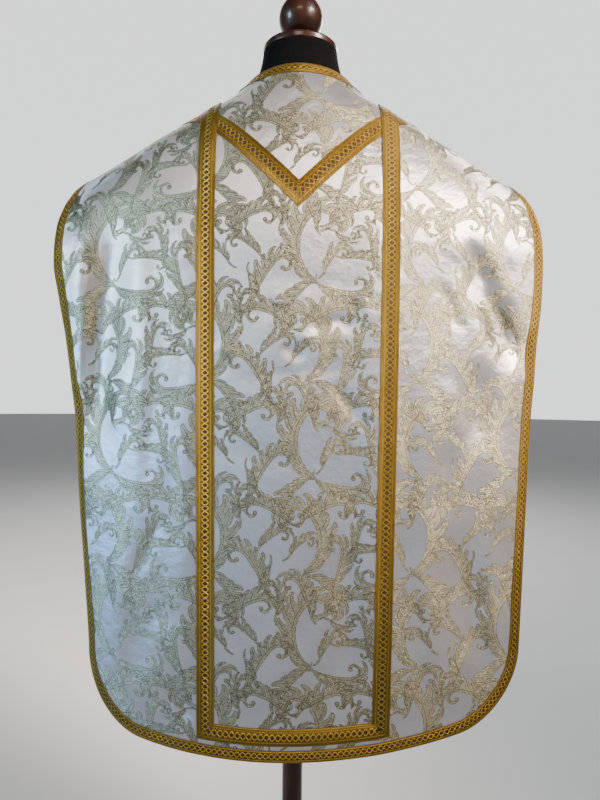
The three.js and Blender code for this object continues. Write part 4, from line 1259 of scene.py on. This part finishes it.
# ---- the dress form ----
TORSO = table(
    "z half back front",
    (1525, 58.5, 57, 57), (1508, 61, 59, 58), (1490, 65.5, 63, 60), (1474, 70.5, 66, 62),
    (1464, 78, 71, 66), (1457, 90, 82, 72), (1440, 134, 98, 82), (1420, 178, 108, 92),
    (1400, 203, 113, 101), (1376, 213, 117, 111), (1340, 216, 119, 124), (1290, 211, 117, 133),
    (1220, 196, 112, 135), (1140, 172, 104, 122), (1060, 156, 99, 109), (1000, 158, 103, 108),
    (930, 173, 113, 112), (860, 182, 116, 113), (800, 181, 113, 110), (764, 176, 109, 107),
    (760, 172, 105, 103),
)
TORSO_LOW, TORSO_HIGH = 760, 1525
SQUARENESS = 2.2  # power of the torso's rounded rings
CLEAR = 1.25


def closed_rings(name, rings, material):
    """Closed body from rings of points, with a flat fan round a middle point at both ends."""
    rings = np.asarray(rings)
    parts = Parts()
    parts.sleeve(rings, 0, rings)
    rows, cols = rings.shape[:2]
    k = np.arange(cols)
    for row in (0, rows - 1):
        centre = rings[row].mean(axis=0)
        begin = parts.add(centre, centre)
        fan = np.stack([0 * k + begin, row * cols + k, row * cols + (k + 1) % cols], 1)
        parts.faces(fan if row else fan[:, ::-1], 0)
    return parts.mesh(name, [material])


def torso_rings(sides=96):
    """Rings of the torso, which stays just inside the cloth of the shoulders."""
    half, back, front = (curve(TORSO["z"], TORSO[key]) for key in ("half", "back", "front"))
    t = 2 * math.pi * (np.arange(sides) + 0.5) / sides
    cos, sin = np.cos(t), np.sin(t)

    def in_cloth(radius, z):
        wide = np.where(sin < 0, ring("back", cos, z), ring("front", cos, z))
        painted_shade = np.where(sin < 0, depth_at["back"](z), depth_at["front"](z))
        q = 1 - (radius * cos / wide) ** 2
        return (q > 0) & (np.abs(radius * sin) < painted_shade * np.maximum(q, 0) ** pinch_at(z))

    foot = [TORSO_LOW, TORSO_LOW + 1.5, TORSO_LOW + 4, TORSO_LOW + 10]
    heights = [foot, np.arange(780, 1330, 12), np.arange(1332, TORSO_HIGH - 0.5, 4), [TORSO_HIGH - SEAM]]
    rings = []
    for z in np.concatenate(heights):
        b = np.where(sin < 0, back(z), front(z))
        r = (np.abs(cos / half(z)) ** SQUARENESS + np.abs(sin / b) ** SQUARENESS) ** (-1 / SQUARENESS)
        if 1200 < z < NECKLINE["back"][0]:
            up = z + 1.5 * CLEAR
            low, high = np.full(sides, 20.0), np.full(sides, 500.0)
            reach = last_true(lambda radius: in_cloth(radius, up), low, high)
            r = np.minimum(r, reach - 3 * CLEAR)
        rings.append(np.stack([r * cos, r * sin, 0 * r + z], 1))
    return rings


def turned(name, node, profile, material, sides=96, fine=5):
    """Turned body from a profile of radii and heights, smoothed between its points."""
    profile = np.array(profile, float)
    run = run_of(profile)
    at = np.unique(np.concatenate([np.linspace(a, b, fine + 1) for a, b in zip(run[:-1], run[1:])]))
    radii, heights = (curve(run, values)(at) for values in profile.T)
    t = 2 * math.pi * np.arange(sides) / sides
    rings = [np.stack([r * np.cos(t), r * np.sin(t), 0 * t + z], 1) for r, z in zip(radii, heights)]
    return settle(closed_rings(name, rings, material), node)


CAP_R, CAP_THICK = 59, 12
knob_z = TORSO_HIGH + CAP_THICK + SEAM
pole_top = TORSO_LOW - SEAM
KNOB = [
    (21, 0), (23, 3), (19.5, 10), (21, 16), (28, 24), (33.5, 35), (35.2, 46), (34, 56), (29.5, 66), (23, 73),
    (16, 77), (10, 78.3),
]
CAP = [
    (CAP_R - 1.5, 0), (CAP_R, 2), (CAP_R, CAP_THICK - 4), (CAP_R - 1.6, CAP_THICK - 1),
    (CAP_R - 5, CAP_THICK),
]
COLLAR = [(16, -30), (17, -26), (25, -23), (30, -17), (30, -4), (28.5, 0)]  # heights from the pole's top
BASE = [
    (203, 0), (205, 3), (205, 15), (203.5, 18.5), (199, 20.5), (120, 22.5), (60, 25), (40, 30), (32, 35),
    (28, 40),
]
polished = wood("dark_stained_wood", 0.32, 0.14)
worn = wood("dark_worn_wood", 0.12, 0.4)
torso = settle(closed_rings("form_torso_cover", torso_rings(), jersey()), "form_torso")
turned("form_cap_turning", "form_neck_cap", [(r, z + TORSO_HIGH) for r, z in CAP], polished)
turned("form_knob_turning", "form_knob", [(r, z + knob_z) for r, z in KNOB], polished)
turned("form_pole_turning", "form_pole", [(16, 40 + SEAM)] + [(r, z + pole_top) for r, z in COLLAR], worn, 64)
turned("form_base_turning", "form_base", BASE, worn, 128)

# ---- stage, lights and camera ----
FLOOR_RADIUS, FLOOR_SIDES, FLOOR_Z = 30.0, 96, -0.5  # m, and mm for the height
k = np.arange(FLOOR_SIDES)
turn = 2 * math.pi * k / FLOOR_SIDES
rim = np.stack([np.cos(turn), np.sin(turn), 0 * turn], 1) * FLOOR_RADIUS / MM
floor_points = np.vstack([[(0, 0, 0)], rim]) + (0, 0, FLOOR_Z)
look = Look("pale_floor", Specular_IOR_Level=0.2)
tone = look.mix(look.noise(look.body(), 3.0), (0.80, 0.80, 0.80), (0.84, 0.84, 0.835))
floor_look = look.finish(Base_Color=tone, Roughness=0.8)
fan = np.stack([0 * k, 1 + k, 1 + (k + 1) % FLOOR_SIDES], 1)
new_mesh("floor", floor_points, fan, None, [floor_look])

world = bpy.data.worlds.new("studio")
bpy.context.scene.world = world
world.use_nodes = True
sky = world.node_tree
direction = sky.nodes.new("ShaderNodeTexCoord")
axes = sky.nodes.new("ShaderNodeSeparateXYZ")
strength = sky.nodes.new("ShaderNodeMath")
background = sky.nodes["Background"]
background.inputs["Color"].default_value = (0.97, 0.98, 1.0, 1)
sky.links.new(direction.outputs["Generated"], axes.inputs[0])
sky.links.new(strength.outputs[0], background.inputs["Strength"])
for index, (axis, *span) in enumerate((
    ("Z", 0.5, 0.0, 0.04, 0.08),  # a little paler towards the horizon and below it
    ("Y", 0.5, 0.8, 0.0, 1.5),  # pale only behind the form, so the satin reflects a dark room
)):
    glow = sky.nodes.new("ShaderNodeMapRange")
    glow.interpolation_type = "SMOOTHSTEP"
    sky.links.new(axes.outputs[axis], glow.inputs["Value"])
    for key, value in zip(("From Min", "From Max", "To Min", "To Max"), span):
        glow.inputs[key].default_value = value
    sky.links.new(glow.outputs[0], strength.inputs[index])

for name, place, target, size, power, colour, spread in (
    ("window_left", (-2.0, -1.15, 1.5), (-0.32, 0, 1.18), (0.6, 1.2), 3.9, (0.60, 0.86, 1.0), 38),
    ("window_left_low", (-2.2, -0.8, 0.6), (-0.34, 0, 0.74), (0.7, 0.8), 1.8, (0.14, 0.44, 1.0), 34),
    ("window_right", (1.9, -1.15, 2.5), (0.44, 0, 1.34), (0.8, 0.8), 9.4, (1.0, 0.87, 0.76), 32),
    ("front_right", (1.65, -1.4, 1.9), (0.44, 0, 1.12), (0.7, 0.9), 3.2, (1.0, 0.77, 0.62), 29),
    ("front_top", (-0.2, -1.9, 2.5), (0, 0, 1.36), (0.8, 0.5), 0.6, (1.0, 0.80, 0.70), 38),
    ("chest", (0.9, 2.6, 2.2), (0, 0.1, 1.1), (1.6, 1.6), 7.0, (1.0, 0.98, 0.96), 40),
    ("behind", (0, 3.4, 3.5), (0, 3.0, 0), (3.0, 3.0), 80, (1.0, 0.99, 0.98), 140),
):
    light = bpy.data.lights.new(name, "AREA")
    light.shape = "RECTANGLE"
    light.size, light.size_y = size
    light.energy = power
    light.color = colour
    light.spread = math.radians(spread)
    lamp = bpy.data.objects.new(name, light)
    lamp.location = place
    lamp.rotation_euler = (Vector(target) - Vector(place)).to_track_quat("-Z", "Y").to_euler()
    lamp.visible_camera = False
    bpy.context.scene.collection.objects.link(lamp)

camera = bpy.data.cameras.new("camera")
camera.lens = 29.16
camera.sensor_width = 36
camera.shift_x = 0.0044
camera.dof.use_dof = False
eye = bpy.data.objects.new("camera", camera)
eye.location = (0, -1.040, 0.985)
PITCH, ROLL = math.radians(-0.5), math.radians(0.66)
eye.rotation_mode = "XYZ"
facing = Vector((0, math.cos(PITCH), math.sin(PITCH))).to_track_quat("-Z", "Y")
eye.rotation_euler = (facing.to_matrix() @ Matrix.Rotation(ROLL, 3, "Z")).to_euler()
bpy.context.scene.collection.objects.link(eye)
bpy.context.scene.camera = eye
